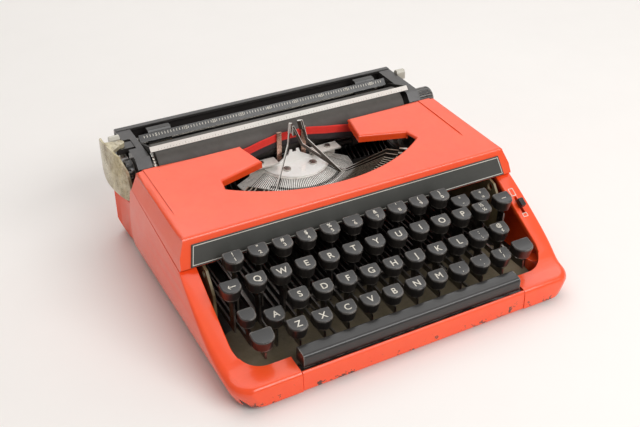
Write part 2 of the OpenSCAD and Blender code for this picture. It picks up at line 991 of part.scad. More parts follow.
module paper_bail() {
    color("white") {
        along_x(-inner_x + 0.2, inner_x - 0.2)
            polygon([[76, 89.2], [79, 92.3], [80, 91.6], [77, 88.4]]);
        both_sides() {
            along_x(inner_x - 2, inner_x - 0.2) {
                polygon([[77, 88.4], [79, 92.3], [bail_y + 1, bail_z + 2.4], [bail_y - 1, bail_z - 2.2]]);
                translate([bail_y, bail_z])
                    circle(2.5);
            }
            rod_x(inner_x - 1.4, end_x0 + 4.5, bail_y, bail_z, 1.5);
        }
    }
}

module return_lever() {
    color("darkkhaki") {
        // pivot pin and hub
        translate([lever_x, lever_y, 79])
            cylinder(r = 2, h = 9);
        translate([lever_x, lever_y, 84.8])
            cylinder(r = 3.7, h = 3.6);
        translate([0, 0, 85])
            linear_extrude(3)
                polygon([[lever_x, lever_y - 3], [lever_x, lever_y + 3], [lever_x - 14, lever_y + 7],
                    [lever_x - 15, lever_y - 3], [lever_x - 13, lever_y - 14]]);
        // bowed blade
        intersection() {
            linear_extrude(120)
                intersection() {
                    translate([lever_x + 24.5, 101])
                        difference() {
                            circle(blade_r, $fn = 128);
                            circle(blade_r - 1.6, $fn = 128);
                        }
                    translate([lever_x - 25.5, 60])
                        square([30, 70]);
                }
            along_x(lever_x - 25.5, lever_x + 4.5)
                polygon([[110, 92], [112.5, 82], [110, 70], [100, 61.5], [86, 56], [77, 52], [73.6, 51.6],
                    [72.8, 56], [73, 66], [74.5, 78], [80, 90], [90, 95.5], [104, 96]]);
        }
    }
}

module release_bar() {
    color("beige") {
        rod_x(-end_x1 - 2.5, end_x1 + 2.5, release_y, release_z, 2);
        both_sides() {
            along_x(end_x1 + 0.5, end_x1 + 3.1) {
                polygon([[release_y - 2.6, release_z], [release_y + 1, 80], [release_y + 5, 80],
                    [release_y + 2.6, release_z]]);
                translate([release_y, release_z])
                    circle(2.6);
            }
            along_x(end_x1 + 0.5, end_x1 + 9)
                polygon([[113.4, 79.5], [113.6, 86], [115.4, 88], [118, 88], [119.6, 86], [119.4, 79.5]]);
        }
    }
}

// D-shaped outline of a key cap
module cap_outline(w) {
    circle(w / 2, $fn = 48);
    translate([-w / 2, 0])
        square([w, cap_back]);
}

// Key cap with a dished top whose lowest line is at the origin
module cap(w) {
    rotate([cap_tilt, 0, 0])
        difference() {
            translate([0, 0, -cap_h])
                linear_extrude(cap_h + 1.1)
                    cap_outline(w);
            translate([-40, 0, dish_r])
                rotate([0, 90, 0])
                    cylinder(r = dish_r, h = 80, $fn = 128);
        }
}

// Lever from the rear shaft to a stem under the cap
module lever(x, y, z) {
    along_x(x - lever_t / 2, x + lever_t / 2)
        difference() {
            union() {
                polygon([[y - 3.5, lever_z0], [lever_shaft_y - 22, lever_z0], [lever_shaft_y, lever_shaft_z - 5],
                    [lever_shaft_y, lever_shaft_z + 5], [lever_shaft_y - 26, lever_z1], [y + 3.5, lever_z1],
                    [y + 3.5, z], [y - 3.5, z]]);
                translate([lever_shaft_y, lever_shaft_z])
                    circle(5);
            }
            translate([lever_shaft_y, lever_shaft_z])
                circle(shaft_r + run);
        }
}

module key(x, y, z, w) {
    translate([x, y, z])
        cap(w);
    lever(x, y, z - 5);
}

module row_key(r, i) {
    key(row_x[r] + i * key_pitch, row_y[r], row_z[r], cap_w);
}

// A key held down by its dip
module pressed(y) {
    translate([0, lever_shaft_y, lever_shaft_z])
        rotate([press(y), 0, 0])
            translate([0, -lever_shaft_y, -lever_shaft_z])
                children();
}

module keys_number() {
    color("dimgray")
        for (i = [0:9])
            row_key(0, i);
}

module keys_upper() {
    color("dimgray")
        for (i = [0:10])
            row_key(1, i);
}

module keys_home() {
    color("dimgray")
        for (i = [1:10])
            row_key(2, i);
}

module keys_lower() {
    color("dimgray")
        for (i = [0:9])
            row_key(3, i);
}

module key_a() {
    color("dimgray")
        pressed(row_y[2])
            row_key(2, 0);
}

module key_hyphen() {
    color("dimgray")
        pressed(row_y[0])
            row_key(0, 10);
}

module key_equals() {
    color("dimgray")
        pressed(row_y[0])
            row_key(0, 11);
}

module shift_keys() {
    color("dimgray") {
        key(shift_x[0], row_y[3], row_z[3], 18);
        key(shift_x[1], row_y[3], row_z[3] + 2, 17);
        // bar that joins both shift levers below the others
        rod_x(shift_x[0] - lever_t / 2, shift_x[1] + lever_t / 2, 20, 13, 2);
        for (x = shift_x)
            along_x(x - lever_t / 2, x + lever_t / 2)
                polygon([[17, 13], [17, lever_z0 + 1], [23, lever_z0 + 1], [23, 13]]);
    }
}

module shift_lock() {
    color("dimgray")
        key(lock_x, row_y[2] - 0.5, row_z[2] - 3, 12);
}

module backspace_key() {
    color("dimgray")
        key(backspace_x, row_y[1], row_z[1], cap_w);
}

module margin_key() {
    color("dimgray")
        key(margin_key_x, row_y[1], row_z[1] + 3, cap_w);
}

module space_bar() {
    color("dimgray") {
        along_x(-space_w / 2, space_w / 2)
            polygon(concat([[-116.4, 19.6], [-128, 19.6]], arc(-125, 27.2, 3, 185, 95, 4),
                arc(-118.6, 28.6, 2.2, 80, 0, 4)));
        for (x = space_arm_x)
            along_x(x - 0.6, x + 0.6)
                difference() {
                    union() {
                        polygon([[-118, 14], [-118, 22], [-114.9, 22], [-114.9, 18], [space_shaft_y, 13],
                            [space_shaft_y, space_shaft_z - 2], [space_shaft_y - 14, 12.5], [-100, 14]]);
                        translate([space_shaft_y, space_shaft_z])
                            circle(3.5);
                    }
                    translate([space_shaft_y, space_shaft_z])
                        circle(space_shaft_r + run);
                }
    }
}

module ribbon_selector() {
    a = atan(rail_slope);
    color("black")
        translate([hw - 9.2, -66, lip_z + (-66 - lip_back_y) * rail_slope])
            rotate([a, 0, 0]) {
                translate([-1, -2.4, -7])
                    cube([2, 4.8, 10]);
                translate([-2.2, -3.4, 1])
                    cube([4.4, 6.8, 4.5]);
                translate([-2.4, -4.6, -7.5])
                    cube([4.8, 9.2, 2]);
            }
}

case_shell();
front_apron();
base_plate();
rubber_feet();
screws();
side_frames();
cross_plate();
keyboard_bed();
key_shafts();
type_segment();
segment_plate();
pivot_wire();
typebars();
basket_pan();
type_rest();
vibrator_bracket();
ribbon_vibrator();
ribbon();
spool_cups();
spool_left();
spool_right();
carriage_rail();
mainspring_drum();
margin_bell();
ribbon_cover();
front_panel();
end_plates();
carriage_bed();
platen();
platen_shaft();
knob_left();
knob_right();
line_ratchet();
feed_roller();
paper_pan();
margin_scale();
margin_rail();
rear_bar();
margin_stop_left();
margin_stop_right();
paper_bail();
return_lever();
release_bar();
keys_number();
keys_upper();
keys_home();
keys_lower();
key_a();
key_hyphen();
key_equals();
typebar_a();
typebar_hyphen();
typebar_equals();
shift_keys();
shift_lock();
backspace_key();
margin_key();
space_bar();
ribbon_selector();
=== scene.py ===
import json
import math

import bmesh
import bpy
from mathutils import Matrix, Vector

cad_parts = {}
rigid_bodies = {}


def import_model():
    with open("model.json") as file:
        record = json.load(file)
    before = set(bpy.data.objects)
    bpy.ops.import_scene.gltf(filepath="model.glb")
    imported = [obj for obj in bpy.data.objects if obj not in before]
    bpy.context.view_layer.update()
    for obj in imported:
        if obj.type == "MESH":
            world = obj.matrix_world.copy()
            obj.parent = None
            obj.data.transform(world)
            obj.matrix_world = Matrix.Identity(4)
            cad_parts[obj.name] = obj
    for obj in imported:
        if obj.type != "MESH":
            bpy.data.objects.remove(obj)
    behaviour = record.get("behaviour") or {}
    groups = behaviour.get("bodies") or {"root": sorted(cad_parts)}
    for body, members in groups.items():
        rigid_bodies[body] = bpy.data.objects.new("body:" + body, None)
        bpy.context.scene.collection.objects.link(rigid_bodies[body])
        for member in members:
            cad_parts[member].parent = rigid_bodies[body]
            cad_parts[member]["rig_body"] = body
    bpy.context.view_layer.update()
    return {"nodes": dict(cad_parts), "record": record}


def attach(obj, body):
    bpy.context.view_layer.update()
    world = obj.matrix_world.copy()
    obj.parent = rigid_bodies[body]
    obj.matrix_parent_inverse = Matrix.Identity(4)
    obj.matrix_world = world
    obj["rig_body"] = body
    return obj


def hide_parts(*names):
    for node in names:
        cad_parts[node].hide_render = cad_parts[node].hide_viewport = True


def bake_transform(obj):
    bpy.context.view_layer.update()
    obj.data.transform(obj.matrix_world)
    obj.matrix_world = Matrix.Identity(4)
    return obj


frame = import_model()
nodes = frame["nodes"]
scene = bpy.context.scene
MM = 0.001

# Gaps that are closed in a piece, in a copied node and at a cut, in metres
WELD, CAD_WELD, CUT_SNAP = 5e-6, 2e-6, 2e-5

# Places and sizes that follow the part's source, in mm
CASE_W, CASE_FRONT_Y = 289.0, -133.0
RAIL_W = 15.0
CORNER_R = 18.0
CORNER_Y = CASE_FRONT_Y + CORNER_R
LIP_Z, LIP_BACK_Y, LIP_FILLET = 20.0, -113.0, 30.0
SEAM_FRONT_Y, SEAM_FRONT_Z = -41.0, 60.0
RAIL_SLOPE = (SEAM_FRONT_Z - LIP_Z) / (SEAM_FRONT_Y - LIP_BACK_Y)
BULGE_Z, LOW_R, HIGH_R = 32.0, 60.0, 206.0
BASE_TOP = 5.5
END_X = 130.5
BASKET_Y = 67.0
COMB_TOP = ((32.0, 55.0), (52.0, 46.0))
SHAFT_Y, SHAFT_Z = 96.0, 36.0
KEY_PITCH = (CASE_W - 2 * RAIL_W) / 13.596
KEY_DIP = 10.0
CAP_W, LOCK_W, SHIFT_W = 14.6, 12.0, (16.4, 16.2)
CAP_H, CAP_BACK, CAP_TILT = 12.0, 5.5, 12.0
DISH_R = 26.0
ROW_Y = (-55.3, -72.4, -89.5, -106.5)
ROW_Z = (70.9, 60.8, 50.6, 40.5)
ROW_X = tuple(share * KEY_PITCH for share in (-5.6252, -5.1349, -4.8772, -4.3953))
SHIFT_X = (-5.7743 * KEY_PITCH, 5.6273 * KEY_PITCH)
LOCK_X = -5.9528 * KEY_PITCH
BACKSPACE_X = -6.1522 * KEY_PITCH
MARGIN_KEY_X = 5.8688 * KEY_PITCH
LOCK_Y = ROW_Y[2] - 0.5
LOCK_Z, MARGIN_KEY_Z, RIGHT_SHIFT_Z = ROW_Z[2] - 3, ROW_Z[1] + 3, ROW_Z[3] + 2
RIBBON_W = 12.7
RIBBON_IN, RIBBON_TURN, RIBBON_OUT = 13.8, 56.0, 101.0
RIBBON_Y, RIBBON_SIDE_Y = 70.35, 60.4
RIBBON_Z, RIBBON_SIDE_Z = 68.5, 63.1
SCALE_MIDDLE, SCALE_UP = (0.0, 111.0, 82.95), (0.0, 4.1, 5.0)
BAIL_MIDDLE, BAIL_UP, BAIL_ARM_Y = (0.0, 77.5, 90.75), (0.0, 3.0, 3.1), 80.2
STOP_BLOCK_Z = 77.0
RELEASE_ROD_X = END_X + 0.4
SELECTOR_X, SELECTOR_Y = CASE_W / 2 - 9.2, -66.0

# Rounded rims, in mm: radii at the seam, along the rail, at the corner and at the front
SEAM_R, RAIL_R, BEND_R, FRONT_R = 0.6, 3.6, 6.0, 5.0
RIM_START_Y, RAIL_R_Y = SEAM_FRONT_Y - 2, -80.0
WALL_STEPS, ROUND_STEPS, RAIL_STEPS, CORNER_STEPS = 8, 8, 26, 14
SKIM, FAR, TOOL_FOOT = 0.03, 12.0, -2.0
RAIL_FOOT_Y, WELL_Y, WELL_EDGE_X, WELL_R = -104.0, -75.0, CASE_W / 2 - 9, 0.9
BAND_X, COVER_RIM_Z, COVER_R = (117.0, 132.0), 76.0, 2.2

# Key caps, in mm; drafts are shares of a cap's width and length
CAP_SIDES, CAP_SKIRT, CAP_CORNER, CAP_ROUND = 64, 8.4, 1.8, 1.1
CAP_DRAFT, NECK_DRAFT = (0.94, 0.96, 1.0), (0.8, 0.8, 1.0)
NECK_INSET, NECK_SINK = 2.6, 0.1
CAP_ROOM_X, CAP_ROOM_Y, CAP_ROOM_Z = 10.0, 12.0, CAP_H + 0.02
DISH_STEP, CAP_SLICES, LEGEND_SLICES = 0.9, 8, 5

# What is printed on the caps and the machine, in mm
LETTER, SMALL, BOLD = 7.4, 4.6, 0.1
LETTER_Y, UPPER_Y, LOWER_Y = -0.9, 1.9, -3.0
INK_LIFT, INK_T = 0.015, 0.05
PRINT_LIFT, PRINT_T, MARK_T = 0.04, 0.06, 0.08
LINE_INSET, LINE_W = 1.0, 0.55
LETTER_STEP, LETTERS, MIDDLE_NUMBER = 2.54, range(-44, 45), 45
SCALE_TICK, SCALE_TICK_Y, DIGIT, DIGIT_Y = (0.5, 2.0), 0.9, 3.6, 0.7
SHORT_TICK, SHORT_TICK_Y, TALL_TICK, TALL_TICK_Y = (0.3, 1.0), -1.0, (0.35, 1.8), -0.6
RING_W, RINGS = 4.4, ((7.0, 12.0), (3.6, -9.5))

# Ribbon cloth, in mm
RIBBON_STEPS, RIBBON_ROWS, RIBBON_T = 120, 8, 0.18
BLACK_SHARE, INK_BLUR = 0.45, 0.4
WAVE, WAVE_TURNS = 0.3, 9.0

# Share of the bell's height that is kept
BELL_SHARE = 0.985

# Where paint chips and the darker middle of the bars (darker steel with painted shade) begin and are full, in
# mm
CHIPS_Z, CHIPS_Y = (19.0, 5.0), (-105.0, -130.0)
MIDDLE_IN, MIDDLE_OUT = (52.0, 56.0), (94.0, 91.0)

# Camera of the photograph: degrees, and lengths in mm
YAW, PITCH, ROLL = 28.4524, 33.7779, 0.4167
LENS, SENSOR_W = 52.49, 36.0
CAMERA_PLACE = (-301.5, -538.32, 453.13)

# Lamps: name, place and size in metres, power in watts
LAMPS = (("top_soft_box", (0.25, 0.65, 1.6), (2.8, 1.8), 18.5),
    ("back_soft_box", (1.15, 1.95, 1.4), (2.6, 1.4), 7.5),
    ("front_soft_box", (0.45, -1.1, 1.05), (1.3, 0.6), 13.5))
LAMP_AIM = (0.0, 0.0, 0.04)
AIR_COLOUR, AIR_STRENGTH = (1.0, 0.985, 0.965, 1.0), 0.33
FLOOR_SIZE = 14.0


# Camera, light and floor
def photo_camera():
    """Camera that sees the machine as the photograph does."""
    yaw, pitch, roll = math.radians(YAW), math.radians(PITCH), math.radians(ROLL)
    forward = Vector((math.sin(yaw) * math.cos(pitch), math.cos(yaw) * math.cos(pitch), -math.sin(pitch)))
    level = Vector((math.cos(yaw), -math.sin(yaw), 0.0))
    upright = level.cross(forward)
    across = math.cos(roll) * level + math.sin(roll) * upright
    above = -math.sin(roll) * level + math.cos(roll) * upright
    turn = Matrix((across, above, -forward)).transposed()
    data = bpy.data.cameras.new("photo_camera")
    data.sensor_fit = "HORIZONTAL"
    data.sensor_width = SENSOR_W
    data.lens = LENS
    data.clip_start = 0.01
    camera = bpy.data.objects.new("photo_camera", data)
    camera.matrix_world = Matrix.Translation(Vector(CAMERA_PLACE) * MM) @ turn.to_4x4()
    scene.collection.objects.link(camera)
    scene.camera = camera


def soft_box(name, place, size, power):
    data = bpy.data.lights.new(name, "AREA")
    data.shape = "RECTANGLE"
    data.size, data.size_y = size
    data.energy = power
    lamp = bpy.data.objects.new(name, data)
    lamp.location = place
    lamp.rotation_euler = (Vector(LAMP_AIM) - Vector(place)).to_track_quat("-Z", "Y").to_euler()
    scene.collection.objects.link(lamp)


def studio():
    """Even pale air, soft lamps and a plain pale floor."""
    scene.view_settings.view_transform = "Standard"
    scene.world = bpy.data.worlds.new("studio_air")
    scene.world.use_nodes = True
    air = scene.world.node_tree.nodes["Background"]
    air.inputs["Color"].default_value = AIR_COLOUR
    air.inputs["Strength"].default_value = AIR_STRENGTH
    for lamp in LAMPS:
        soft_box(*lamp)
    bpy.ops.mesh.primitive_plane_add(size=FLOOR_SIZE)
    floor = bpy.context.object
    floor.name = "studio_floor"
    floor.data.materials.append(materials["floor_paper"])


# Material building
def put(tree, kind, values=None, **settings):
    made = tree.nodes.new(kind)
    for key, value in settings.items():
        setattr(made, key, value)
    for key, value in (values or {}).items():
        if isinstance(value, bpy.types.NodeSocket):
            tree.links.new(value, made.inputs[key])
        else:
            made.inputs[key].default_value = value
    return made


def new_group(name, inputs, outputs):
    tree = bpy.data.node_groups.new(name, "ShaderNodeTree")
    for label, default in inputs:
        made = tree.interface.new_socket(label, in_out="INPUT", socket_type="NodeSocketFloat")
        made.default_value = default
    for label in outputs:
        tree.interface.new_socket(label, in_out="OUTPUT", socket_type="NodeSocketFloat")
    return tree, tree.nodes.new("NodeGroupInput"), tree.nodes.new("NodeGroupOutput")


def maths(tree, operation, *values):
    return put(tree, "ShaderNodeMath", dict(enumerate(values)), operation=operation).outputs[0]


def vectors(tree, operation, *values):
    made = put(tree, "ShaderNodeVectorMath", dict(enumerate(values)), operation=operation)
    return made.outputs["Value" if operation in ("DOT_PRODUCT", "LENGTH") else "Vector"]


def spread(tree, value, start, end, low=0.0, high=1.0):
    """The value carried from one range to another, and held at its ends."""
    return put(tree, "ShaderNodeMapRange", {"Value": value, "From Min": start, "From Max": end,
        "To Min": low, "To Max": high}).outputs[0]


def spread_mm(tree, value, start, end, low=0.0, high=1.0):
    return spread(tree, value, start * MM, end * MM, low, high)


def edge_wear_and_highlight_group():
    """Mask that is 1 on convex edges, broken up by a noise: rubbed paint and enamel, and a painted highlight
    on the key caps' rims.
    """
    tree, given, out = new_group("Edge Wear And Highlight", (("Radius", 0.0006), ("Breakup", 300.0), ("Amount", 0.5)),
        ("Mask",))
    place = put(tree, "ShaderNodeTexCoord").outputs["Object"]
    rounded = put(tree, "ShaderNodeBevel", {"Radius": given.outputs["Radius"]}, samples=4)
    flat = put(tree, "ShaderNodeNewGeometry")
    dot = vectors(tree, "DOT_PRODUCT", rounded.outputs["Normal"], flat.outputs["Normal"])
    edge = spread(tree, dot, 0.995, 0.9)
    noise = put(tree, "ShaderNodeTexNoise", {"Vector": place, "Scale": given.outputs["Breakup"],
        "Detail": 6.0})
    broken = maths(tree, "ADD", noise.outputs["Fac"], given.outputs["Amount"])
    mask = maths(tree, "MULTIPLY", edge, spread(tree, broken, 0.95, 1.1))
    tree.links.new(mask, out.inputs["Mask"])
    return tree


def smudge_group():
    """Slow cloudy value for handled and wiped surfaces, with finer streaks in it."""
    tree, given, out = new_group("Handling Marks", (("Scale", 40.0), ("Low", 0.3), ("High", 0.5)), ("Value",))
    place = put(tree, "ShaderNodeTexCoord").outputs["Object"]
    slow = put(tree, "ShaderNodeTexNoise", {"Vector": place, "Scale": given.outputs["Scale"], "Detail": 5.0,
        "Roughness": 0.62})
    finer = maths(tree, "MULTIPLY", given.outputs["Scale"], 9.0)
    fast = put(tree, "ShaderNodeTexNoise", {"Vector": place, "Scale": finer, "Detail": 3.0})
    both = maths(tree, "MULTIPLY_ADD", fast.outputs["Fac"], 0.3, slow.outputs["Fac"])
    value = spread(tree, both, 0.4, 0.9, given.outputs["Low"], given.outputs["High"])
    tree.links.new(value, out.inputs["Value"])
    return tree


def dust_group():
    """Mask of dust that settled on faces looking up."""
    tree, given, out = new_group("Settled Dust", (("Amount", 0.3), ("Scale", 220.0)), ("Mask",))
    place = put(tree, "ShaderNodeTexCoord").outputs["Object"]
    facing = put(tree, "ShaderNodeSeparateXYZ", {0: put(tree, "ShaderNodeNewGeometry").outputs["Normal"]})
    up = spread(tree, facing.outputs["Z"], 0.35, 0.95)
    noise = put(tree, "ShaderNodeTexNoise", {"Vector": place, "Scale": given.outputs["Scale"], "Detail": 8.0,
        "Roughness": 0.7})
    patch = spread(tree, noise.outputs["Fac"], 0.42, 0.72)
    share = maths(tree, "MULTIPLY", patch, given.outputs["Amount"])
    tree.links.new(maths(tree, "MULTIPLY", up, share), out.inputs["Mask"])
    return tree


def skin_group():
    """Height of a moulded or sprayed skin: a fine orange peel on a slow wave."""
    tree, given, out = new_group("Surface Skin", (("Peel", 900.0), ("Wave", 25.0), ("Wave Share", 2.0)),
        ("Height",))
    place = put(tree, "ShaderNodeTexCoord").outputs["Object"]
    peel = put(tree, "ShaderNodeTexNoise", {"Vector": place, "Scale": given.outputs["Peel"], "Detail": 2.0})
    wave = put(tree, "ShaderNodeTexNoise", {"Vector": place, "Scale": given.outputs["Wave"], "Detail": 1.0})
    both = maths(tree, "MULTIPLY_ADD", wave.outputs["Fac"], given.outputs["Wave Share"], peel.outputs["Fac"])
    tree.links.new(both, out.inputs["Height"])
    return tree


def brushed_group():
    """Height and roughness of metal drawn along X."""
    tree, given, out = new_group("Brushed Lines", (("Fineness", 1.0), ("Low", 0.22), ("High", 0.42)),
        ("Height", "Roughness"))
    place = put(tree, "ShaderNodeTexCoord").outputs["Object"]
    drawn = put(tree, "ShaderNodeMapping", {"Vector": place, "Scale": (60.0, 2600.0, 2600.0)})
    lines = put(tree, "ShaderNodeTexNoise", {"Vector": drawn.outputs[0], "Scale": given.outputs["Fineness"],
        "Detail": 3.0})
    rough = spread(tree, lines.outputs["Fac"], 0.3, 0.7, given.outputs["Low"], given.outputs["High"])
    tree.links.new(lines.outputs["Fac"], out.inputs["Height"])
    tree.links.new(rough, out.inputs["Roughness"])
    return tree


def chips_group():
    """Mask of knocked-off paint, only low down at the front."""
    tree, given, out = new_group("Paint Chips", (("Amount", 0.5), ("Scale", 130.0)), ("Mask",))
    place = put(tree, "ShaderNodeTexCoord").outputs["Object"]
    axes = put(tree, "ShaderNodeSeparateXYZ", {0: place})
    low = spread_mm(tree, axes.outputs["Z"], *CHIPS_Z)
    front = spread_mm(tree, axes.outputs["Y"], *CHIPS_Y)
    noise = put(tree, "ShaderNodeTexNoise", {"Vector": place, "Scale": given.outputs["Scale"], "Detail": 9.0,
        "Roughness": 0.72})
    area = maths(tree, "MULTIPLY", low, front)
    share = maths(tree, "MULTIPLY", area, given.outputs["Amount"])
    reach = maths(tree, "MULTIPLY_ADD", share, 0.25, noise.outputs["Fac"])
    tree.links.new(spread(tree, reach, 0.71, 0.735), out.inputs["Mask"])
    return tree


def fan_group():
    """Masks of the type basket: sides of what stands in the fan and depth in the comb, for painted shade, and
    middle of the bars, for darker steel with painted shade.
    """
    tree, given, out = new_group("Fan Faces", (("Reach", 0.0006),), ("Shaded Sides", "Shaded Slots", "Middle"))
    place = put(tree, "ShaderNodeTexCoord")
    from_centre = vectors(tree, "SUBTRACT", place.outputs["Object"], (0.0, BASKET_Y * MM, 0.0))
    level = vectors(tree, "MULTIPLY", from_centre, (1.0, 1.0, 0.0))
    tangent = vectors(tree, "NORMALIZE", vectors(tree, "CROSS_PRODUCT", level, (0.0, 0.0, 1.0)))
    facing = maths(tree, "ABSOLUTE", vectors(tree, "DOT_PRODUCT", tangent, place.outputs["Normal"]))
    sides = spread(tree, facing, 0.5, 0.8)
    radius = vectors(tree, "LENGTH", level)
    (r0, z0), (r1, z1) = COMB_TOP
    top = spread_mm(tree, radius, r0, r1, z0 * MM, z1 * MM)
    height = put(tree, "ShaderNodeSeparateXYZ", {0: place.outputs["Object"]})
    below = maths(tree, "SUBTRACT", top, height.outputs["Z"])
    deep = spread(tree, below, 0.0002, given.outputs["Reach"])
    inner = spread_mm(tree, radius, *MIDDLE_IN)
    outer = spread_mm(tree, radius, *MIDDLE_OUT)
    middle = maths(tree, "MULTIPLY", inner, outer)
    tree.links.new(sides, out.inputs["Shaded Sides"])
    tree.links.new(deep, out.inputs["Shaded Slots"])
    tree.links.new(middle, out.inputs["Middle"])
    return tree


groups = {"chips": chips_group(), "edge_wear_and_highlight": edge_wear_and_highlight_group(), "smudge": smudge_group(), "dust": dust_group(),
    "skin": skin_group(), "brushed": brushed_group(), "fan": fan_group()}
materials = {}


def use(tree, group, **values):
    made = tree.nodes.new("ShaderNodeGroup")
    made.node_tree = groups[group]
    for key, value in values.items():
        made.inputs[key].default_value = value
    return made


def mix(tree, share, low, high):
    made = tree.nodes.new("ShaderNodeMix")
    made.data_type = "RGBA"
    for key, value in ((0, share), (6, low), (7, high)):
        if isinstance(value, bpy.types.NodeSocket):
            tree.links.new(value, made.inputs[key])
        else:
            made.inputs[key].default_value = value
    return made.outputs[2]


def rgb(r, g, b):
    """Linear colour from the sRGB values 0 to 255 that it shows."""
    line = [(v / 255 / 12.92) if v < 10.3 else ((v / 255 + 0.055) / 1.055) ** 2.4 for v in (r, g, b)]
    return (*line, 1.0)


def new_material(name):
    made = bpy.data.materials.new(name)
    made.use_nodes = True
    materials[name] = made
    return made.node_tree, made.node_tree.nodes["Principled BSDF"]


def bump(tree, shader, height, strength, distance):
    made = put(tree, "ShaderNodeBump", {"Height": height, "Strength": strength, "Distance": distance})
    tree.links.new(made.outputs["Normal"], shader.inputs["Normal"])


def coated(name, colour, deep, rough, coat=0.0, coat_rough=0.1, edge_wear_and_highlight=None, dust=0.1, peel=900.0,
        bump_share=0.12, metallic=0.0, cloud=30.0, dust_colour=(140, 130, 118)):
    """Paint, enamel or moulded plastic: cloudy tone, smudged gloss, dust, edges of another colour (rubbed
    paint, a painted highlight on the key caps) and a fine skin.
    """
    tree, shader = new_material(name)
    tone = use(tree, "smudge", Scale=cloud, Low=0.0, High=1.0)
    base = mix(tree, tone.outputs[0], rgb(*deep), rgb(*colour))
    if dust:
        base = mix(tree, use(tree, "dust", Amount=dust).outputs[0], base, rgb(*dust_colour))
    if edge_wear_and_highlight:
        worn_and_lit_edges = use(tree, "edge_wear_and_highlight", Radius=edge_wear_and_highlight[0], Breakup=edge_wear_and_highlight[1], Amount=edge_wear_and_highlight[2])
        base = mix(tree, worn_and_lit_edges.outputs[0], base, rgb(*edge_wear_and_highlight[3]))
    tree.links.new(base, shader.inputs["Base Color"])
    gloss = use(tree, "smudge", Scale=cloud * 1.7, Low=rough[0], High=rough[1])
    tree.links.new(gloss.outputs[0], shader.inputs["Roughness"])
    shader.inputs["Metallic"].default_value = metallic
    shader.inputs["Coat Weight"].default_value = coat
    shader.inputs["Coat Roughness"].default_value = coat_rough
    skin = use(tree, "skin", Peel=peel)
    bump(tree, shader, skin.outputs[0], bump_share, 0.0001)
    return tree, shader


def metal(name, colour, deep, low, high, tarnish=0.25):
    """Bare metal with drawn lines, cloudy tarnish and duller patches."""
    tree, shader = new_material(name)
    cloud = use(tree, "smudge", Scale=70.0, Low=0.0, High=1.0)
    base = mix(tree, cloud.outputs[0], rgb(*deep), rgb(*colour))
    base = mix(tree, use(tree, "dust", Amount=tarnish, Scale=160.0).outputs[0], base, rgb(96, 84, 70))
    tree.links.new(base, shader.inputs["Base Color"])
    shader.inputs["Metallic"].default_value = 1.0
    lines = use(tree, "brushed", Low=low, High=high)
    tree.links.new(lines.outputs["Roughness"], shader.inputs["Roughness"])
    bump(tree, shader, lines.outputs["Height"], 0.15, 0.00005)


def ribbon_cloth():
    """Woven ribbon inked red above and black below."""
    tree, shader = new_material("ribbon_cloth")
    place = put(tree, "ShaderNodeTexCoord").outputs["Object"]
    axes = put(tree, "ShaderNodeSeparateXYZ", {0: place})
    far = maths(tree, "ABSOLUTE", axes.outputs["X"])
    black_w = RIBBON_W * BLACK_SHARE
    meeting = spread_mm(tree, far, RIBBON_IN, RIBBON_TURN, (RIBBON_Z + black_w) * MM,
        (RIBBON_SIDE_Z + black_w) * MM)
    above = maths(tree, "SUBTRACT", axes.outputs["Z"], meeting)
    red = spread_mm(tree, above, -INK_BLUR, INK_BLUR)
    stain = use(tree, "smudge", Scale=90.0, Low=0.0, High=1.0)
    upper = mix(tree, stain.outputs[0], rgb(240, 50, 44), rgb(252, 66, 54))
    lower = mix(tree, stain.outputs[0], rgb(44, 38, 40), rgb(66, 58, 60))
    tree.links.new(mix(tree, red, lower, upper), shader.inputs["Base Color"])
    shader.inputs["Roughness"].default_value = 0.82
    weave = put(tree, "ShaderNodeTexWave", {"Vector": place, "Scale": 900.0, "Distortion": 0.6})
    bump(tree, shader, weave.outputs["Fac"], 0.35, 0.00008)


def paint_over(tree, shader, mask, colour):
    """Lays a colour over a material's base where the mask is 1."""
    under = shader.inputs["Base Color"].links[0].from_socket
    tree.links.new(mix(tree, mask, under, rgb(*colour)), shader.inputs["Base Color"])


def lever_pearl():
    """Mottled pearly lacquer, streaked along the lever's blade."""
    tree, shader = new_material("lever_pearl")
    place = put(tree, "ShaderNodeTexCoord").outputs["Object"]
    drawn = put(tree, "ShaderNodeMapping", {"Vector": place, "Rotation": (0.5, 0.0, 0.0),
        "Scale": (150.0, 150.0, 34.0)})
    streaks = put(tree, "ShaderNodeTexNoise", {"Vector": drawn.outputs[0], "Scale": 1.0, "Detail": 7.0,
        "Roughness": 0.68, "Distortion": 0.8})
    share = spread(tree, streaks.outputs["Fac"], 0.34, 0.66)
    base = mix(tree, share, rgb(118, 98, 62), rgb(206, 194, 156))
    cloud = use(tree, "smudge", Scale=60.0, Low=-0.5, High=1.0)
    tree.links.new(mix(tree, cloud.outputs[0], base, rgb(226, 218, 194)), shader.inputs["Base Color"])
    gloss = use(tree, "smudge", Scale=90.0, Low=0.2, High=0.38)
    tree.links.new(gloss.outputs[0], shader.inputs["Roughness"])
    shader.inputs["Metallic"].default_value = 0.25
    shader.inputs["Coat Weight"].default_value = 0.4
    shader.inputs["Coat Roughness"].default_value = 0.12
    bump(tree, shader, streaks.outputs["Fac"], 0.12, 0.0001)


def nickel(name):
    """Pale plated steel of the type basket."""
    return coated(name, (244, 241, 235), (214, 210, 202), (0.22, 0.36), dust=0.1, peel=1600.0,
        metallic=0.2, cloud=120.0, dust_colour=(120, 104, 86))


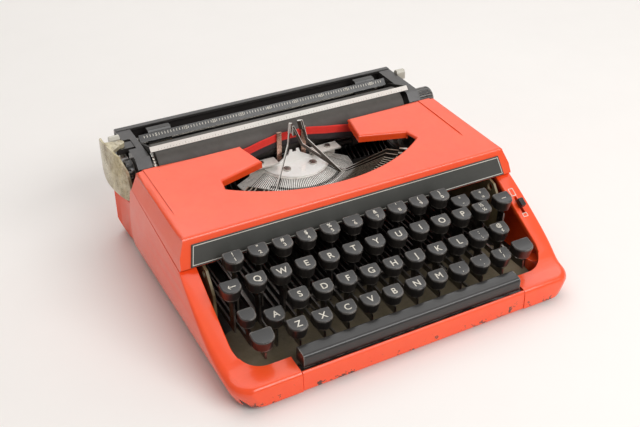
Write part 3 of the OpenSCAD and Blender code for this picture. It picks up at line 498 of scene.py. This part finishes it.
def build_materials():
    """Every material of the machine, and the floor's."""
    tree, shader = coated("shell_paint", (255, 88, 34), (252, 76, 24), (0.28, 0.42), coat=0.55,
        coat_rough=0.14, edge_wear_and_highlight=(0.0007, 160.0, 0.36, (120, 60, 45)), dust=0.03, peel=700.0, bump_share=0.1)
    paint_over(tree, shader, use(tree, "chips", Amount=0.6).outputs[0], (72, 38, 30))
    coated("panel_enamel", (70, 70, 66), (60, 60, 56), (0.38, 0.52), dust=0.12, peel=1500.0,
        bump_share=0.2)
    # Pale rims on the caps, space bar and knobs: a painted highlight along their rounded edges.
    coated("key_plastic", (34, 31, 29), (25, 23, 22), (0.3, 0.4), coat=0.35, coat_rough=0.06, dust=0.02,
        edge_wear_and_highlight=(0.0014, 200.0, 0.55, (150, 142, 134)), peel=1600.0, bump_share=0.02)
    coated("key_legend", (235, 230, 218), (214, 206, 190), (0.4, 0.55), dust=0.1)
    coated("black_enamel", (40, 37, 36), (30, 28, 27), (0.3, 0.46), coat=0.25, dust=0.12,
        edge_wear_and_highlight=(0.0005, 400.0, 0.4, (150, 145, 138)), peel=1300.0)
    coated("grey_enamel", (54, 50, 49), (44, 41, 40), (0.28, 0.42), coat=0.35, coat_rough=0.18, dust=0.1,
        edge_wear_and_highlight=(0.0005, 400.0, 0.38, (170, 165, 158)), peel=1300.0)
    coated("platen_rubber", (88, 84, 79), (72, 68, 64), (0.5, 0.68), dust=0.12, peel=1800.0, bump_share=0.35)
    coated("foot_rubber", (48, 46, 44), (38, 36, 35), (0.6, 0.8), dust=0.2, peel=1400.0, bump_share=0.5)
    coated("olive_enamel", (150, 136, 100), (112, 100, 72), (0.4, 0.6), dust=0.2,
        edge_wear_and_highlight=(0.0006, 260.0, 0.45, (110, 74, 48)), peel=1200.0, cloud=55.0)
    coated("bed_enamel", (128, 116, 92), (98, 88, 68), (0.4, 0.58), dust=0.25, peel=1000.0, cloud=45.0)
    coated("white_enamel", (236, 233, 226), (222, 217, 208), (0.25, 0.4), coat=0.2, dust=0.12, peel=1200.0)
    coated("ivory_plastic", (208, 203, 190), (188, 182, 168), (0.22, 0.36), coat=0.2, dust=0.1, peel=1400.0)
    coated("pad_felt", (98, 74, 58), (72, 54, 44), (0.85, 0.98), dust=0.3, peel=2400.0, bump_share=0.8)
    coated("pale_ink", (176, 172, 164), (160, 156, 148), (0.4, 0.55), dust=0.1)
    coated("bright_line", (226, 222, 212), (200, 196, 186), (0.25, 0.4), dust=0.05)
    ribbon_cloth()
    coated("plate_silver", (254, 253, 250), (240, 238, 233), (0.24, 0.38), coat=0.3, dust=0.05, peel=1500.0)
    tree, shader = nickel("bar_nickel")
    # The raised bars' sides are darkened as painted shade, so that their tops read lit.
    paint_over(tree, shader, use(tree, "fan").outputs["Shaded Sides"], (82, 73, 65))
    tree, shader = nickel("rest_bars")
    fan = use(tree, "fan")
    # The bars' middle is darker steel with painted shade on it, and their sides are painted shade.
    paint_over(tree, shader, fan.outputs["Middle"], (132, 120, 104))
    paint_over(tree, shader, fan.outputs["Shaded Sides"], (48, 42, 37))
    tree, shader = nickel("comb_nickel")
    fan = use(tree, "fan", Reach=0.001)
    # The comb's sides and its slots below the top are darkened as painted shade.
    paint_over(tree, shader, fan.outputs["Shaded Sides"], (46, 40, 35))
    paint_over(tree, shader, fan.outputs["Shaded Slots"], (40, 34, 30))
    metal("bright_steel", (214, 211, 205), (182, 178, 172), 0.22, 0.4)
    metal("dark_steel", (150, 146, 142), (104, 100, 97), 0.24, 0.44, tarnish=0.4)
    metal("rosy_metal", (214, 178, 160), (176, 138, 122), 0.22, 0.4)
    metal("aged_brass", (205, 168, 96), (160, 124, 66), 0.26, 0.44)
    lever_pearl()
    tree, shader = new_material("floor_paper")
    tone = use(tree, "smudge", Scale=3.0, Low=0.0, High=1.0)
    paper = mix(tree, tone.outputs[0], rgb(244, 240, 236), rgb(247, 243, 239))
    tree.links.new(paper, shader.inputs["Base Color"])
    shader.inputs["Roughness"].default_value = 0.75
    shader.inputs["Specular IOR Level"].default_value = 0.2


# Modelling helpers
def only(obj):
    if bpy.context.mode != "OBJECT":
        bpy.ops.object.mode_set(mode="OBJECT")
    bpy.ops.object.select_all(action="DESELECT")
    obj.select_set(True)
    bpy.context.view_layer.objects.active = obj


def edit(obj):
    only(obj)
    bpy.ops.object.mode_set(mode="EDIT")


def edit_all(obj):
    edit(obj)
    bpy.ops.mesh.select_all(action="SELECT")


def leave():
    bpy.ops.object.mode_set(mode="OBJECT")


def none_marked(obj, kind):
    """Leaves nothing selected in a mesh, in the selection mode for faces or for edges."""
    edit(obj)
    bpy.ops.mesh.select_mode(type=kind)
    bpy.ops.mesh.select_all(action="DESELECT")
    leave()


def face_outwards(obj):
    edit_all(obj)
    bpy.ops.mesh.normals_make_consistent(inside=False)
    leave()


def shade(obj, degrees):
    """Shades an object smooth, apart from edges sharper than this."""
    only(obj)
    bpy.ops.object.shade_smooth_by_angle(angle=math.radians(degrees))


def modify(obj, kind, **settings):
    only(obj)
    made = obj.modifiers.new(kind.lower(), kind)
    for key, value in settings.items():
        setattr(made, key, value)
    bpy.ops.object.modifier_apply(modifier=made.name)


def node_copy(node, name):
    """Free copy of a CAD node with its loose triangles welded and its flat faces joined."""
    piece = nodes[node].copy()
    piece.data = nodes[node].data.copy()
    for key in list(piece.keys()):
        del piece[key]
    piece.parent = None
    piece.name = name
    piece.data.name = name
    scene.collection.objects.link(piece)
    piece.hide_viewport = False
    piece.hide_render = False
    only(piece)
    bpy.ops.mesh.customdata_custom_splitnormals_clear()
    edit_all(piece)
    bpy.ops.mesh.remove_doubles(threshold=CAD_WELD)
    bpy.ops.mesh.dissolve_limited(angle_limit=math.radians(0.8))
    leave()
    piece.data.materials.clear()
    return piece


def weld(piece):
    """Joins points that lie on each other and drops faces and edges with no size."""
    edit_all(piece)
    bpy.ops.mesh.remove_doubles(threshold=WELD)
    bpy.ops.mesh.dissolve_degenerate(threshold=WELD)
    bpy.ops.mesh.delete_loose()
    leave()


def soften(piece, width):
    """Rounds the sharp edges by a width in mm, if it has one, and shades the rest smooth."""
    if width:
        modify(piece, "BEVEL", width=width * MM, segments=3, limit_method="ANGLE",
            angle_limit=math.radians(30.0), miter_outer="MITER_ARC", use_clamp_overlap=True)
    shade(piece, 35.0)
    modify(piece, "WEIGHTED_NORMAL", keep_sharp=True, weight=50)


def round_edges(piece, test, width, segments=5):
    """Rounds the convex edges whose middle and two face normals the test keeps."""
    work = bmesh.new()
    work.from_mesh(piece.data)
    kept = set()
    for line in work.edges:
        if len(line.link_faces) != 2 or not line.is_convex or line.calc_face_angle() < math.radians(25.0):
            continue
        middle = (line.verts[0].co + line.verts[1].co) / 2 / MM
        if test(middle, *sorted((face.normal for face in line.link_faces), key=lambda n: n.z)):
            kept.add(line.index)
    work.free()
    none_marked(piece, "EDGE")
    for line in piece.data.edges:
        line.select = line.index in kept
    edit(piece)
    bpy.ops.mesh.bevel(offset=width * MM, segments=segments, affect="EDGES", clamp_overlap=False)
    leave()


def side_x(z):
    """Half width of the case's bulged sides at a height."""
    bulge = LOW_R if z < BULGE_Z else HIGH_R
    return CASE_W / 2 - bulge + math.sqrt(bulge ** 2 - (z - BULGE_Z) ** 2)


def rail_top(y):
    """Height of the rails: level lip, hollow fillet, straight slope."""
    tilt = math.atan(RAIL_SLOPE)
    start = LIP_BACK_Y - LIP_FILLET * math.tan(tilt / 2)
    run = min(max(y - start, 0.0), LIP_FILLET * math.sin(tilt))
    hollow = LIP_Z + LIP_FILLET - math.sqrt(LIP_FILLET ** 2 - run ** 2)
    return hollow + max(y - start - run, 0.0) * RAIL_SLOPE


def ramp(value, start, end):
    return min(max((value - start) / (end - start), 0.0), 1.0)


def rim_section(outline, out, top, radius):
    """Closed section of what is cut from a rim: wall, quarter round, and a far side in the air."""
    foot = top - radius
    wall = [TOOL_FOOT + (foot - TOOL_FOOT) * k / WALL_STEPS for k in range(WALL_STEPS)]
    points = [(*(outline(z) + SKIM * out), z) for z in wall]
    for k in range(ROUND_STEPS + 1):
        turn = math.pi / 2 * k / ROUND_STEPS
        inset = SKIM + radius * (math.cos(turn) - 1)
        points.append((*(outline(foot) + inset * out), foot + radius * math.sin(turn)))
    points.append((*(outline(foot) - radius * out), top + FAR))
    points.append((*(outline(foot) + FAR * out), top + FAR))
    points.append((*(outline(foot) + FAR * out), TOOL_FOOT))
    return points


def rim_tool(side):
    """Cutter that rounds a rail's outer edge and the front corner, growing from the seam to the corner."""
    sections = []
    for k in range(RAIL_STEPS):
        y = SEAM_FRONT_Y + (CORNER_Y - SEAM_FRONT_Y) * k / RAIL_STEPS
        radius = SEAM_R + (RAIL_R - SEAM_R) * ramp(y, RIM_START_Y, RAIL_R_Y)
        radius += (BEND_R - RAIL_R) * ramp(y, RAIL_R_Y, CORNER_Y)
        sections.append(rim_section(lambda z: Vector((side_x(z), y)), Vector((1.0, 0.0)),
            rail_top(y), radius))
    for k in range(CORNER_STEPS + 1):
        turn = math.pi / 2 * k / CORNER_STEPS
        out = Vector((math.cos(turn), -math.sin(turn)))
        place = CORNER_R * out + Vector((0.0, CORNER_Y))
        radius = BEND_R + (FRONT_R - BEND_R) * k / CORNER_STEPS
        sections.append(rim_section(lambda z: place + Vector((side_x(z) - CORNER_R, 0.0)), out,
            rail_top(place.y), radius))
    size = len(sections[0])
    last = len(sections) - 1
    faces = [tuple(range(size)), tuple(last * size + k for k in range(size))]
    for row in range(last):
        for k in range(size):
            n = (k + 1) % size
            faces.append((row * size + k, row * size + n, (row + 1) * size + n, (row + 1) * size + k))
    mesh = bpy.data.meshes.new("rim_tool")
    points = [Vector((side * x, y, z)) * MM for section in sections for x, y, z in section]
    mesh.from_pydata(points, [], faces)
    tool = bpy.data.objects.new("rim_tool", mesh)
    scene.collection.objects.link(tool)
    face_outwards(tool)
    return tool


def well_rim(middle, wall, top):
    """Edge between a rail's top and the keyboard well."""
    inward = wall.x * middle.x + wall.y * (middle.y - WELL_Y) < 0
    on_rail = RAIL_FOOT_Y < middle.y < SEAM_FRONT_Y and abs(middle.x) < WELL_EDGE_X
    return top.z > 0.5 and abs(wall.z) < 0.3 and inward and on_rail


def make_case():
    """The painted case with its rails' and corners' edges rounded over."""
    case = node_copy("case_shell", "fine_case_shell")
    for side in (-1, 1):
        tool = rim_tool(side)
        modify(case, "BOOLEAN", operation="DIFFERENCE", object=tool, solver="EXACT")
        bpy.data.objects.remove(tool)
    weld(case)
    round_edges(case, well_rim, WELL_R, 3)
    shade(case, 32.0)
    dress(case, "shell_paint", body_of("case_shell"), slot_of("case_shell"), "case_shell")


def cover_rim(middle, wall, top):
    """Edge of the cover's top, apart from the low bands along its sides."""
    band = BAND_X[0] < abs(middle.x) < BAND_X[1] and abs(wall.x) > 0.7
    return top.z > 0.8 and abs(wall.z) < 0.75 and middle.z > COVER_RIM_Z and not band


def paint_faces(piece, material, test):
    """Gives a second material to the faces whose middle, in mm, the test keeps."""
    piece.data.materials.append(materials[material])
    for face in piece.data.polygons:
        if test(face.center / MM):
            face.material_index = len(piece.data.materials) - 1


def dress(piece, material, body, slot, *replaced):
    """Gives a finished piece its material and body, and hides the nodes it stands for; the slot is not used.
    """
    if not piece.data.materials:
        piece.data.materials.append(materials[material])
    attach(piece, body)
    if replaced:
        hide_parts(*replaced)


def body_of(node):
    return nodes[node]["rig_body"]


def slot_of(node):
    return next(row["material_slot"] for row in frame["record"]["subparts"] if row["node"] == node)


def refine(node, material, width, rim=None, rim_width=0.0):
    """Copy of a node with softened edges that stands for it; a rim of its own width can be rounded first."""
    piece = node_copy(node, "fine_" + node)
    if rim:
        round_edges(piece, rim, rim_width)
    soften(piece, width)
    dress(piece, material, body_of(node), slot_of(node), node)
    return piece


# Keys
def at(x, y, z):
    """Place of a cap whose dish is lowest at this point, in mm."""
    return Matrix.Translation(Vector((x, y, z)) * MM) @ Matrix.Rotation(math.radians(CAP_TILT), 4, "X")


def in_row(row, count):
    return at(ROW_X[row] + count * KEY_PITCH, ROW_Y[row], ROW_Z[row])


def held_down(row, count):
    """Place of a cap whose lever has turned about its shaft by the key's dip."""
    shaft = Matrix.Translation(Vector((0.0, SHAFT_Y, SHAFT_Z)) * MM)
    turn = Matrix.Rotation(math.asin(KEY_DIP / (SHAFT_Y - ROW_Y[row])), 4, "X")
    return shaft @ turn @ shaft.inverted() @ in_row(row, count)


def mark_faces(obj, test):
    """Selects in edit mode the faces that the test keeps."""
    none_marked(obj, "FACE")
    for face in obj.data.polygons:
        face.select = bool(test(face))
    edit(obj)


def mark_edges(obj, test):
    """Selects in edit mode the edges that the test keeps, given both ends."""
    none_marked(obj, "EDGE")
    points = obj.data.vertices
    for line in obj.data.edges:
        line.select = bool(test(points[line.vertices[0]].co, points[line.vertices[1]].co))
    edit(obj)


def dish(y):
    """Height of a cap's dished top at a distance in front of or behind its middle, in mm."""
    return DISH_R - math.sqrt(DISH_R ** 2 - y ** 2)


def slice_across(piece, reach):
    """Cuts a mesh at even steps along Y, so that it can follow the dish."""
    edit(piece)
    for k in range(-reach, reach + 1):
        bpy.ops.mesh.select_all(action="SELECT")
        bpy.ops.mesh.bisect(plane_co=(0, k * DISH_STEP * MM, 0), plane_no=(0, 1, 0), threshold=CUT_SNAP)
    leave()


def model_cap(width):
    """Key cap at the origin: round front, square back, sides that draw in downwards, dished top."""
    bpy.ops.object.select_all(action="DESELECT")
    bpy.ops.mesh.primitive_cylinder_add(vertices=CAP_SIDES, radius=width / 2 * MM, depth=CAP_SKIRT * MM,
        location=(0, 0, -CAP_SKIRT / 2 * MM))
    cap = bpy.context.object
    bpy.ops.object.transform_apply(location=True, rotation=True, scale=True)
    edit_all(cap)
    bpy.ops.mesh.bisect(plane_co=(0, 0, 0), plane_no=(0, 1, 0), use_fill=True, clear_outer=True)
    mark_faces(cap, lambda face: face.normal.y > 0.9)
    bpy.ops.mesh.extrude_region_move(TRANSFORM_OT_translate={"value": (0, CAP_BACK * MM, 0)})
    bpy.ops.mesh.select_all(action="SELECT")
    bpy.ops.mesh.dissolve_limited(angle_limit=math.radians(0.5))
    mark_edges(cap, lambda a, b: min(a.y, b.y) > 0.9 * CAP_BACK * MM and abs(a.z - b.z) > MM)
    bpy.ops.mesh.bevel(offset=CAP_CORNER * MM, segments=6, affect="EDGES")
    mark_edges(cap, lambda a, b: min(a.z, b.z) > -WELD)
    bpy.ops.mesh.bevel(offset=CAP_ROUND * MM, segments=5, affect="EDGES")
    mark_faces(cap, lambda face: face.normal.z < -0.9)
    bpy.ops.transform.resize(value=CAP_DRAFT, center_override=(0, 0, 0))
    bpy.ops.mesh.inset(thickness=NECK_INSET * MM)
    neck = (0, 0, (CAP_SKIRT - CAP_H + NECK_SINK) * MM)
    bpy.ops.mesh.extrude_region_move(TRANSFORM_OT_translate={"value": neck})
    bpy.ops.transform.resize(value=NECK_DRAFT, center_override=(0, 0, 0))
    leave()
    slice_across(cap, CAP_SLICES)
    for point in cap.data.vertices:
        if point.co.z > -CAP_SKIRT * MM:
            point.co.z += dish(point.co.y / MM) * (1 + point.co.z / MM / CAP_SKIRT) * MM
    soften(cap, 0.0)
    return cap


def model_legend(text, size, x, y):
    """Flat letters about a place on a cap or on another face, in mm."""
    bpy.ops.object.select_all(action="DESELECT")
    bpy.ops.object.text_add(location=(x * MM, y * MM, PRINT_LIFT * MM))
    words = bpy.context.object
    words.data.body = text
    words.data.size = size * MM
    words.data.align_x = "CENTER"
    words.data.align_y = "CENTER"
    words.data.resolution_u = 4
    # A thickened star would cross its own outline.
    words.data.offset = 0.0 if text == "*" else BOLD * MM
    bpy.ops.object.convert(target="MESH")
    letters = bpy.context.object
    bpy.ops.object.transform_apply(location=True, rotation=True, scale=True)
    return letters


def lay_on_dish(letters):
    """Bends flat letters to a cap's dish and gives them a little thickness."""
    weld(letters)
    edit_all(letters)
    bpy.ops.mesh.dissolve_limited(angle_limit=math.radians(1.0))
    leave()
    slice_across(letters, LEGEND_SLICES)
    edit_all(letters)
    bpy.ops.mesh.quads_convert_to_tris()
    leave()
    weld(letters)
    for point in letters.data.vertices:
        point.co.z = (dish(point.co.y / MM) + INK_LIFT) * MM
    modify(letters, "SOLIDIFY", thickness=INK_T * MM, offset=1.0)


def copies(base, places, name):
    """One piece made of a copy of the base at each place."""
    made = []
    for place in places:
        one = base.copy()
        one.data = base.data.copy()
        one.matrix_world = place
        scene.collection.objects.link(one)
        made.append(one)
    return merged(made, name)


def merged(parts, name):
    """One piece made of all the parts, with its places in its mesh."""
    only(parts[0])
    for part in parts:
        part.select_set(True)
    if len(parts) > 1:
        bpy.ops.object.join()
    bpy.ops.object.transform_apply(location=True, rotation=True, scale=True)
    piece = bpy.context.object
    piece.name = name
    piece.data.name = name
    return piece


def bare_levers(node, places, name):
    """The node's levers alone: its caps are cut away where the new ones stand."""
    piece = node_copy(node, name)
    back = [place.inverted() for place in places]
    points = piece.data.vertices

    def in_room(p):
        return p.z > -CAP_ROOM_Z * MM and abs(p.x) < CAP_ROOM_X * MM and abs(p.y) < CAP_ROOM_Y * MM

    def on_cap(face):
        return any(all(in_room(turn @ points[k].co) for k in face.vertices) for turn in back)

    mark_faces(piece, on_cap)
    bpy.ops.mesh.delete(type="FACE")
    none_marked(piece, "EDGE")
    edit(piece)
    bpy.ops.mesh.select_non_manifold()
    bpy.ops.mesh.edge_face_add()
    face_outwards(piece)
    shade(piece, 30.0)
    return piece


def key_set(node, width, keys):
    """Caps, levers and legends of one body; keys are pairs of a place and what the cap says."""
    body = body_of(node)
    short = node.replace("keys_", "").replace("_keys", "").replace("_key", "").replace("key_", "")
    places = [place for place, said in keys]
    cap = model_cap(width)
    dress(copies(cap, places, "caps_" + short), "key_plastic", body, "key_plastic", node)
    bpy.data.objects.remove(cap)
    levers = bare_levers(node, places, "levers_" + short)
    dress(levers, "dark_steel", body, "bright_steel", node)
    legends = []
    for place, said in keys:
        for text, size, x, y in said:
            letters = model_legend(text, size, x, y)
            lay_on_dish(letters)
            letters.matrix_world = place
            legends.append(letters)
    if legends:
        dress(merged(legends, "legends_" + short), "key_legend", body, "white_plastic")


def plain(letter):
    """What a letter key says, as rows of text, size and place on the cap."""
    return ((letter, LETTER, 0.0, LETTER_Y),)


def stacked(upper, lower):
    return ((upper, SMALL, 0.0, UPPER_Y), (lower, SMALL, 0.0, LOWER_Y))


def make_keys():
    """All keys, row by row, with what their caps say."""
    digits = [stacked(*pair) for pair in ("!1", '"2', "#3", "$4", "%5", "_6", "&7", "'8", "(9", ")0")]
    key_set("keys_number", CAP_W, [(in_row(0, k), said) for k, said in enumerate(digits)])
    key_set("key_hyphen", CAP_W, [(held_down(0, 10), stacked("*", "-"))])
    key_set("key_equals", CAP_W, [(held_down(0, 11), stacked("+", "="))])
    upper = [plain(letter) for letter in "QWERTYUIOP"] + [stacked("\u00bd", "\u00bc")]
    key_set("keys_upper", CAP_W, [(in_row(1, k), said) for k, said in enumerate(upper)])
    home = [plain(letter) for letter in "SDFGHJKL"] + [stacked(":", ";"), stacked("@", "\u00a2")]
    key_set("keys_home", CAP_W, [(in_row(2, k + 1), said) for k, said in enumerate(home)])
    key_set("key_a", CAP_W, [(held_down(2, 0), plain("A"))])
    lower = [plain(letter) for letter in "ZXCVBNM"] + [stacked(*pair) for pair in (",,", "..", "?/")]
    key_set("keys_lower", CAP_W, [(in_row(3, k), said) for k, said in enumerate(lower)])
    key_set("shift_lock", LOCK_W, [(at(LOCK_X, LOCK_Y, LOCK_Z), ())])
    arrow = (("\u2013", 8.5, 0.8, -0.6), ("\u2039", 7.0, -1.9, -0.6))
    key_set("backspace_key", CAP_W, [(at(BACKSPACE_X, ROW_Y[1], ROW_Z[1]), arrow)])
    dash = (("\u2013", 7.5, 0.0, -0.4),)
    key_set("margin_key", CAP_W, [(at(MARGIN_KEY_X, ROW_Y[1], MARGIN_KEY_Z), dash)])
    shift_caps([at(SHIFT_X[0], ROW_Y[3], ROW_Z[3]), at(SHIFT_X[1], ROW_Y[3], RIGHT_SHIFT_Z)])


def shift_caps(places):
    """Caps and levers of the two shift keys, which are one body."""
    caps = []
    for width, place in zip(SHIFT_W, places):
        cap = model_cap(width)
        cap.matrix_world = place
        caps.append(cap)
    body = body_of("shift_keys")
    dress(merged(caps, "caps_shift"), "key_plastic", body, "key_plastic", "shift_keys")
    levers = bare_levers("shift_keys", places, "levers_shift")
    dress(levers, "dark_steel", body, "bright_steel", "shift_keys")


# Ribbon and trim
def make_ribbon():
    """Two halves of the inked cloth, from the level stretch beside a spool to the printing point."""
    for side, name in ((-1, "ribbon_left"), (1, "ribbon_right")):
        bpy.ops.object.select_all(action="DESELECT")
        bpy.ops.mesh.primitive_grid_add(x_subdivisions=RIBBON_STEPS, y_subdivisions=RIBBON_ROWS, size=1.0)
        cloth = bpy.context.object
        cloth.name = name
        cloth.data.name = name
        for point in cloth.data.vertices:
            along = (point.co.x + 0.5) * RIBBON_OUT
            across = (point.co.y + 0.5) * RIBBON_W
            slope = ramp(along, RIBBON_IN, RIBBON_TURN)
            back = ramp(along, RIBBON_IN, RIBBON_OUT)
            wave = WAVE * math.sin(math.pi * slope) * math.sin(WAVE_TURNS * slope + side)
            low = RIBBON_Z + (RIBBON_SIDE_Z - RIBBON_Z) * slope
            deep = RIBBON_Y + (RIBBON_SIDE_Y - RIBBON_Y) * back
            point.co = Vector((side * along, deep + wave, low + across)) * MM
        modify(cloth, "SOLIDIFY", thickness=RIBBON_T * MM, offset=0.0)
        face_outwards(cloth)
        only(cloth)
        bpy.ops.object.shade_smooth()
        cloth.data.materials.append(materials["ribbon_cloth"])
        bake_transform(cloth)
        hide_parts("ribbon")


def make_panel_line():
    """Thin bright line round the face of the front panel."""
    line = node_copy("front_panel", "panel_line")
    front = max(line.data.polygons, key=lambda face: face.area * (face.normal.y < 0)).index
    mark_faces(line, lambda face: face.index != front)
    bpy.ops.mesh.delete(type="FACE")
    bpy.ops.mesh.select_all(action="SELECT")
    bpy.ops.mesh.inset(thickness=LINE_INSET * MM)
    bpy.ops.mesh.select_all(action="INVERT")
    bpy.ops.mesh.delete(type="FACE")
    bpy.ops.mesh.select_all(action="SELECT")
    bpy.ops.mesh.inset(thickness=LINE_W * MM)
    bpy.ops.mesh.delete(type="FACE")
    leave()
    modify(line, "SOLIDIFY", thickness=MARK_T * MM, offset=1.0)
    dress(line, "bright_line", body_of("front_panel"), "bright_steel")


# Marks
def face_frame(origin, up):
    """Frame of a flat face in mm: X along the machine, Y up the face, Z out of it."""
    rise = Vector(up).normalized()
    along = Vector((1.0, 0.0, 0.0))
    turn = Matrix((along, rise, along.cross(rise))).transposed()
    return Matrix.Translation(Vector(origin) * MM) @ turn.to_4x4()


def spot(face, count, rise):
    """Place on a face, so many letters from its middle and so many mm up."""
    return face @ Matrix.Translation((count * LETTER_STEP * MM, rise * MM, 0))


def ticks(face, counts, size, rise, name):
    """Flat marks of one width and height on a face, half sunk in it, at these numbers of letters."""
    width, height = size
    bpy.ops.object.select_all(action="DESELECT")
    bpy.ops.mesh.primitive_cube_add(size=1.0, scale=(width * MM, height * MM, MARK_T * MM))
    mark = bpy.context.object
    bpy.ops.object.transform_apply(location=False, rotation=False, scale=True)
    made = copies(mark, [spot(face, k, rise) for k in counts], name)
    bpy.data.objects.remove(mark)
    return made


def flat_words(text, size):
    letters = model_legend(text, size, 0.0, 0.0)
    weld(letters)
    modify(letters, "SOLIDIFY", thickness=PRINT_T * MM, offset=-1.0)
    return letters


def make_scale_marks():
    """Ticks a letter apart on the margin scale, with a number at every tenth."""
    face = face_frame(SCALE_MIDDLE, SCALE_UP)
    parts = [ticks(face, [k for k in LETTERS if k % 10], SCALE_TICK, SCALE_TICK_Y, "scale_ticks")]
    for k in LETTERS:
        if k % 10 == 0:
            words = flat_words(str(k + MIDDLE_NUMBER), DIGIT)
            words.matrix_world = spot(face, k, DIGIT_Y)
            parts.append(words)
    dress(merged(parts, "scale_marks"), "key_legend", body_of("margin_scale"), "white_plastic")


def make_bail_marks():
    """Faint grey ticks on the lower half of the bail's face, every fifth one taller."""
    face = face_frame(BAIL_MIDDLE, BAIL_UP)
    parts = [ticks(face, [k for k in LETTERS if k % 5], SHORT_TICK, SHORT_TICK_Y, "short"),
        ticks(face, [k for k in LETTERS if k % 5 == 0], TALL_TICK, TALL_TICK_Y, "tall")]
    dress(merged(parts, "bail_marks"), "pale_ink", body_of("paper_bail"), "grey_panel")


def make_selector_marks():
    """White frames printed on the right rail before and behind the ribbon selector."""
    rail_z = LIP_Z + (SELECTOR_Y - LIP_BACK_Y) * RAIL_SLOPE
    face = face_frame((SELECTOR_X, SELECTOR_Y, rail_z), (0.0, 1.0, RAIL_SLOPE))
    parts = []
    for height, offset in RINGS:
        bpy.ops.object.select_all(action="DESELECT")
        bpy.ops.mesh.primitive_plane_add(size=1.0)
        ring = bpy.context.object
        edit_all(ring)
        bpy.ops.transform.resize(value=(RING_W * MM, height * MM, 1), center_override=(0, 0, 0))
        bpy.ops.mesh.inset(thickness=LINE_W * MM)
        bpy.ops.mesh.delete(type="FACE")
        leave()
        modify(ring, "SOLIDIFY", thickness=MARK_T * MM, offset=0.0)
        ring.matrix_world = face @ Matrix.Translation((0, offset * MM, 0))
        parts.append(ring)
    dress(merged(parts, "selector_marks"), "key_legend", body_of("case_shell"), "white_plastic")


# Making
photo_camera()
build_materials()
studio()

make_case()
refine("front_apron", "shell_paint", 0.5)
refine("ribbon_cover", "shell_paint", 0.0, rim=cover_rim, rim_width=COVER_R)

# Nodes that get softened edges: material, and width of the edges in mm
SHELLS = (("front_panel", "panel_enamel", 0.25), ("end_plates", "grey_enamel", 0.5),
    ("rear_bar", "grey_enamel", 0.5), ("carriage_bed", "black_enamel", 0.3),
    ("return_lever", "lever_pearl", 0.3), ("knob_left", "key_plastic", 0.4),
    ("knob_right", "key_plastic", 0.5), ("space_bar", "key_plastic", 0.4),
    ("ribbon_selector", "black_enamel", 0.3), ("platen", "platen_rubber", 0.4),
    ("segment_plate", "plate_silver", 0.15), ("vibrator_bracket", "white_enamel", 0.2),
    ("ribbon_vibrator", "rosy_metal", 0.2), ("side_frames", "olive_enamel", 0.25))
for node, material, width in SHELLS:
    refine(node, material, width)
for node in ("margin_stop_left", "margin_stop_right"):
    stop = refine(node, "black_enamel", 0.4)
    paint_faces(stop, "aged_brass", lambda middle: middle.z < STOP_BLOCK_Z)
bail = refine("paper_bail", "white_enamel", 0.2)
paint_faces(bail, "black_enamel", lambda middle: middle.y > BAIL_ARM_Y)
release = refine("release_bar", "ivory_plastic", 0.6)
paint_faces(release, "bright_steel", lambda middle: abs(middle.x) < RELEASE_ROD_X)

# The bell is a hair lower than in CAD, so that the lowest key lever clears it when pressed.
bell = refine("margin_bell", "bright_steel", 0.0)
edit_all(bell)
bpy.ops.transform.resize(value=(1, 1, BELL_SHARE), center_override=(0, 0, BASE_TOP * MM))
leave()

# CAD nodes that are shown with the shape they have
CAD_SHAPES = {"base_plate": "black_enamel", "rubber_feet": "foot_rubber", "screws": "bright_steel",
    "cross_plate": "black_enamel", "keyboard_bed": "bed_enamel", "key_shafts": "dark_steel",
    "type_segment": "comb_nickel", "pivot_wire": "dark_steel", "typebars": "rest_bars",
    "typebar_a": "bar_nickel", "typebar_hyphen": "bar_nickel", "typebar_equals": "bar_nickel",
    "basket_pan": "black_enamel", "type_rest": "pad_felt", "spool_cups": "black_enamel",
    "spool_left": "dark_steel", "spool_right": "dark_steel", "carriage_rail": "bright_steel",
    "mainspring_drum": "aged_brass", "platen_shaft": "bright_steel", "line_ratchet": "bright_steel",
    "feed_roller": "platen_rubber", "paper_pan": "black_enamel", "margin_scale": "black_enamel",
    "margin_rail": "bright_steel"}
for node, material in CAD_SHAPES.items():
    nodes[node].data.materials.clear()
    nodes[node].data.materials.append(materials[material])
make_keys()
make_ribbon()
make_panel_line()
make_scale_marks()
make_bail_marks()
make_selector_marks()
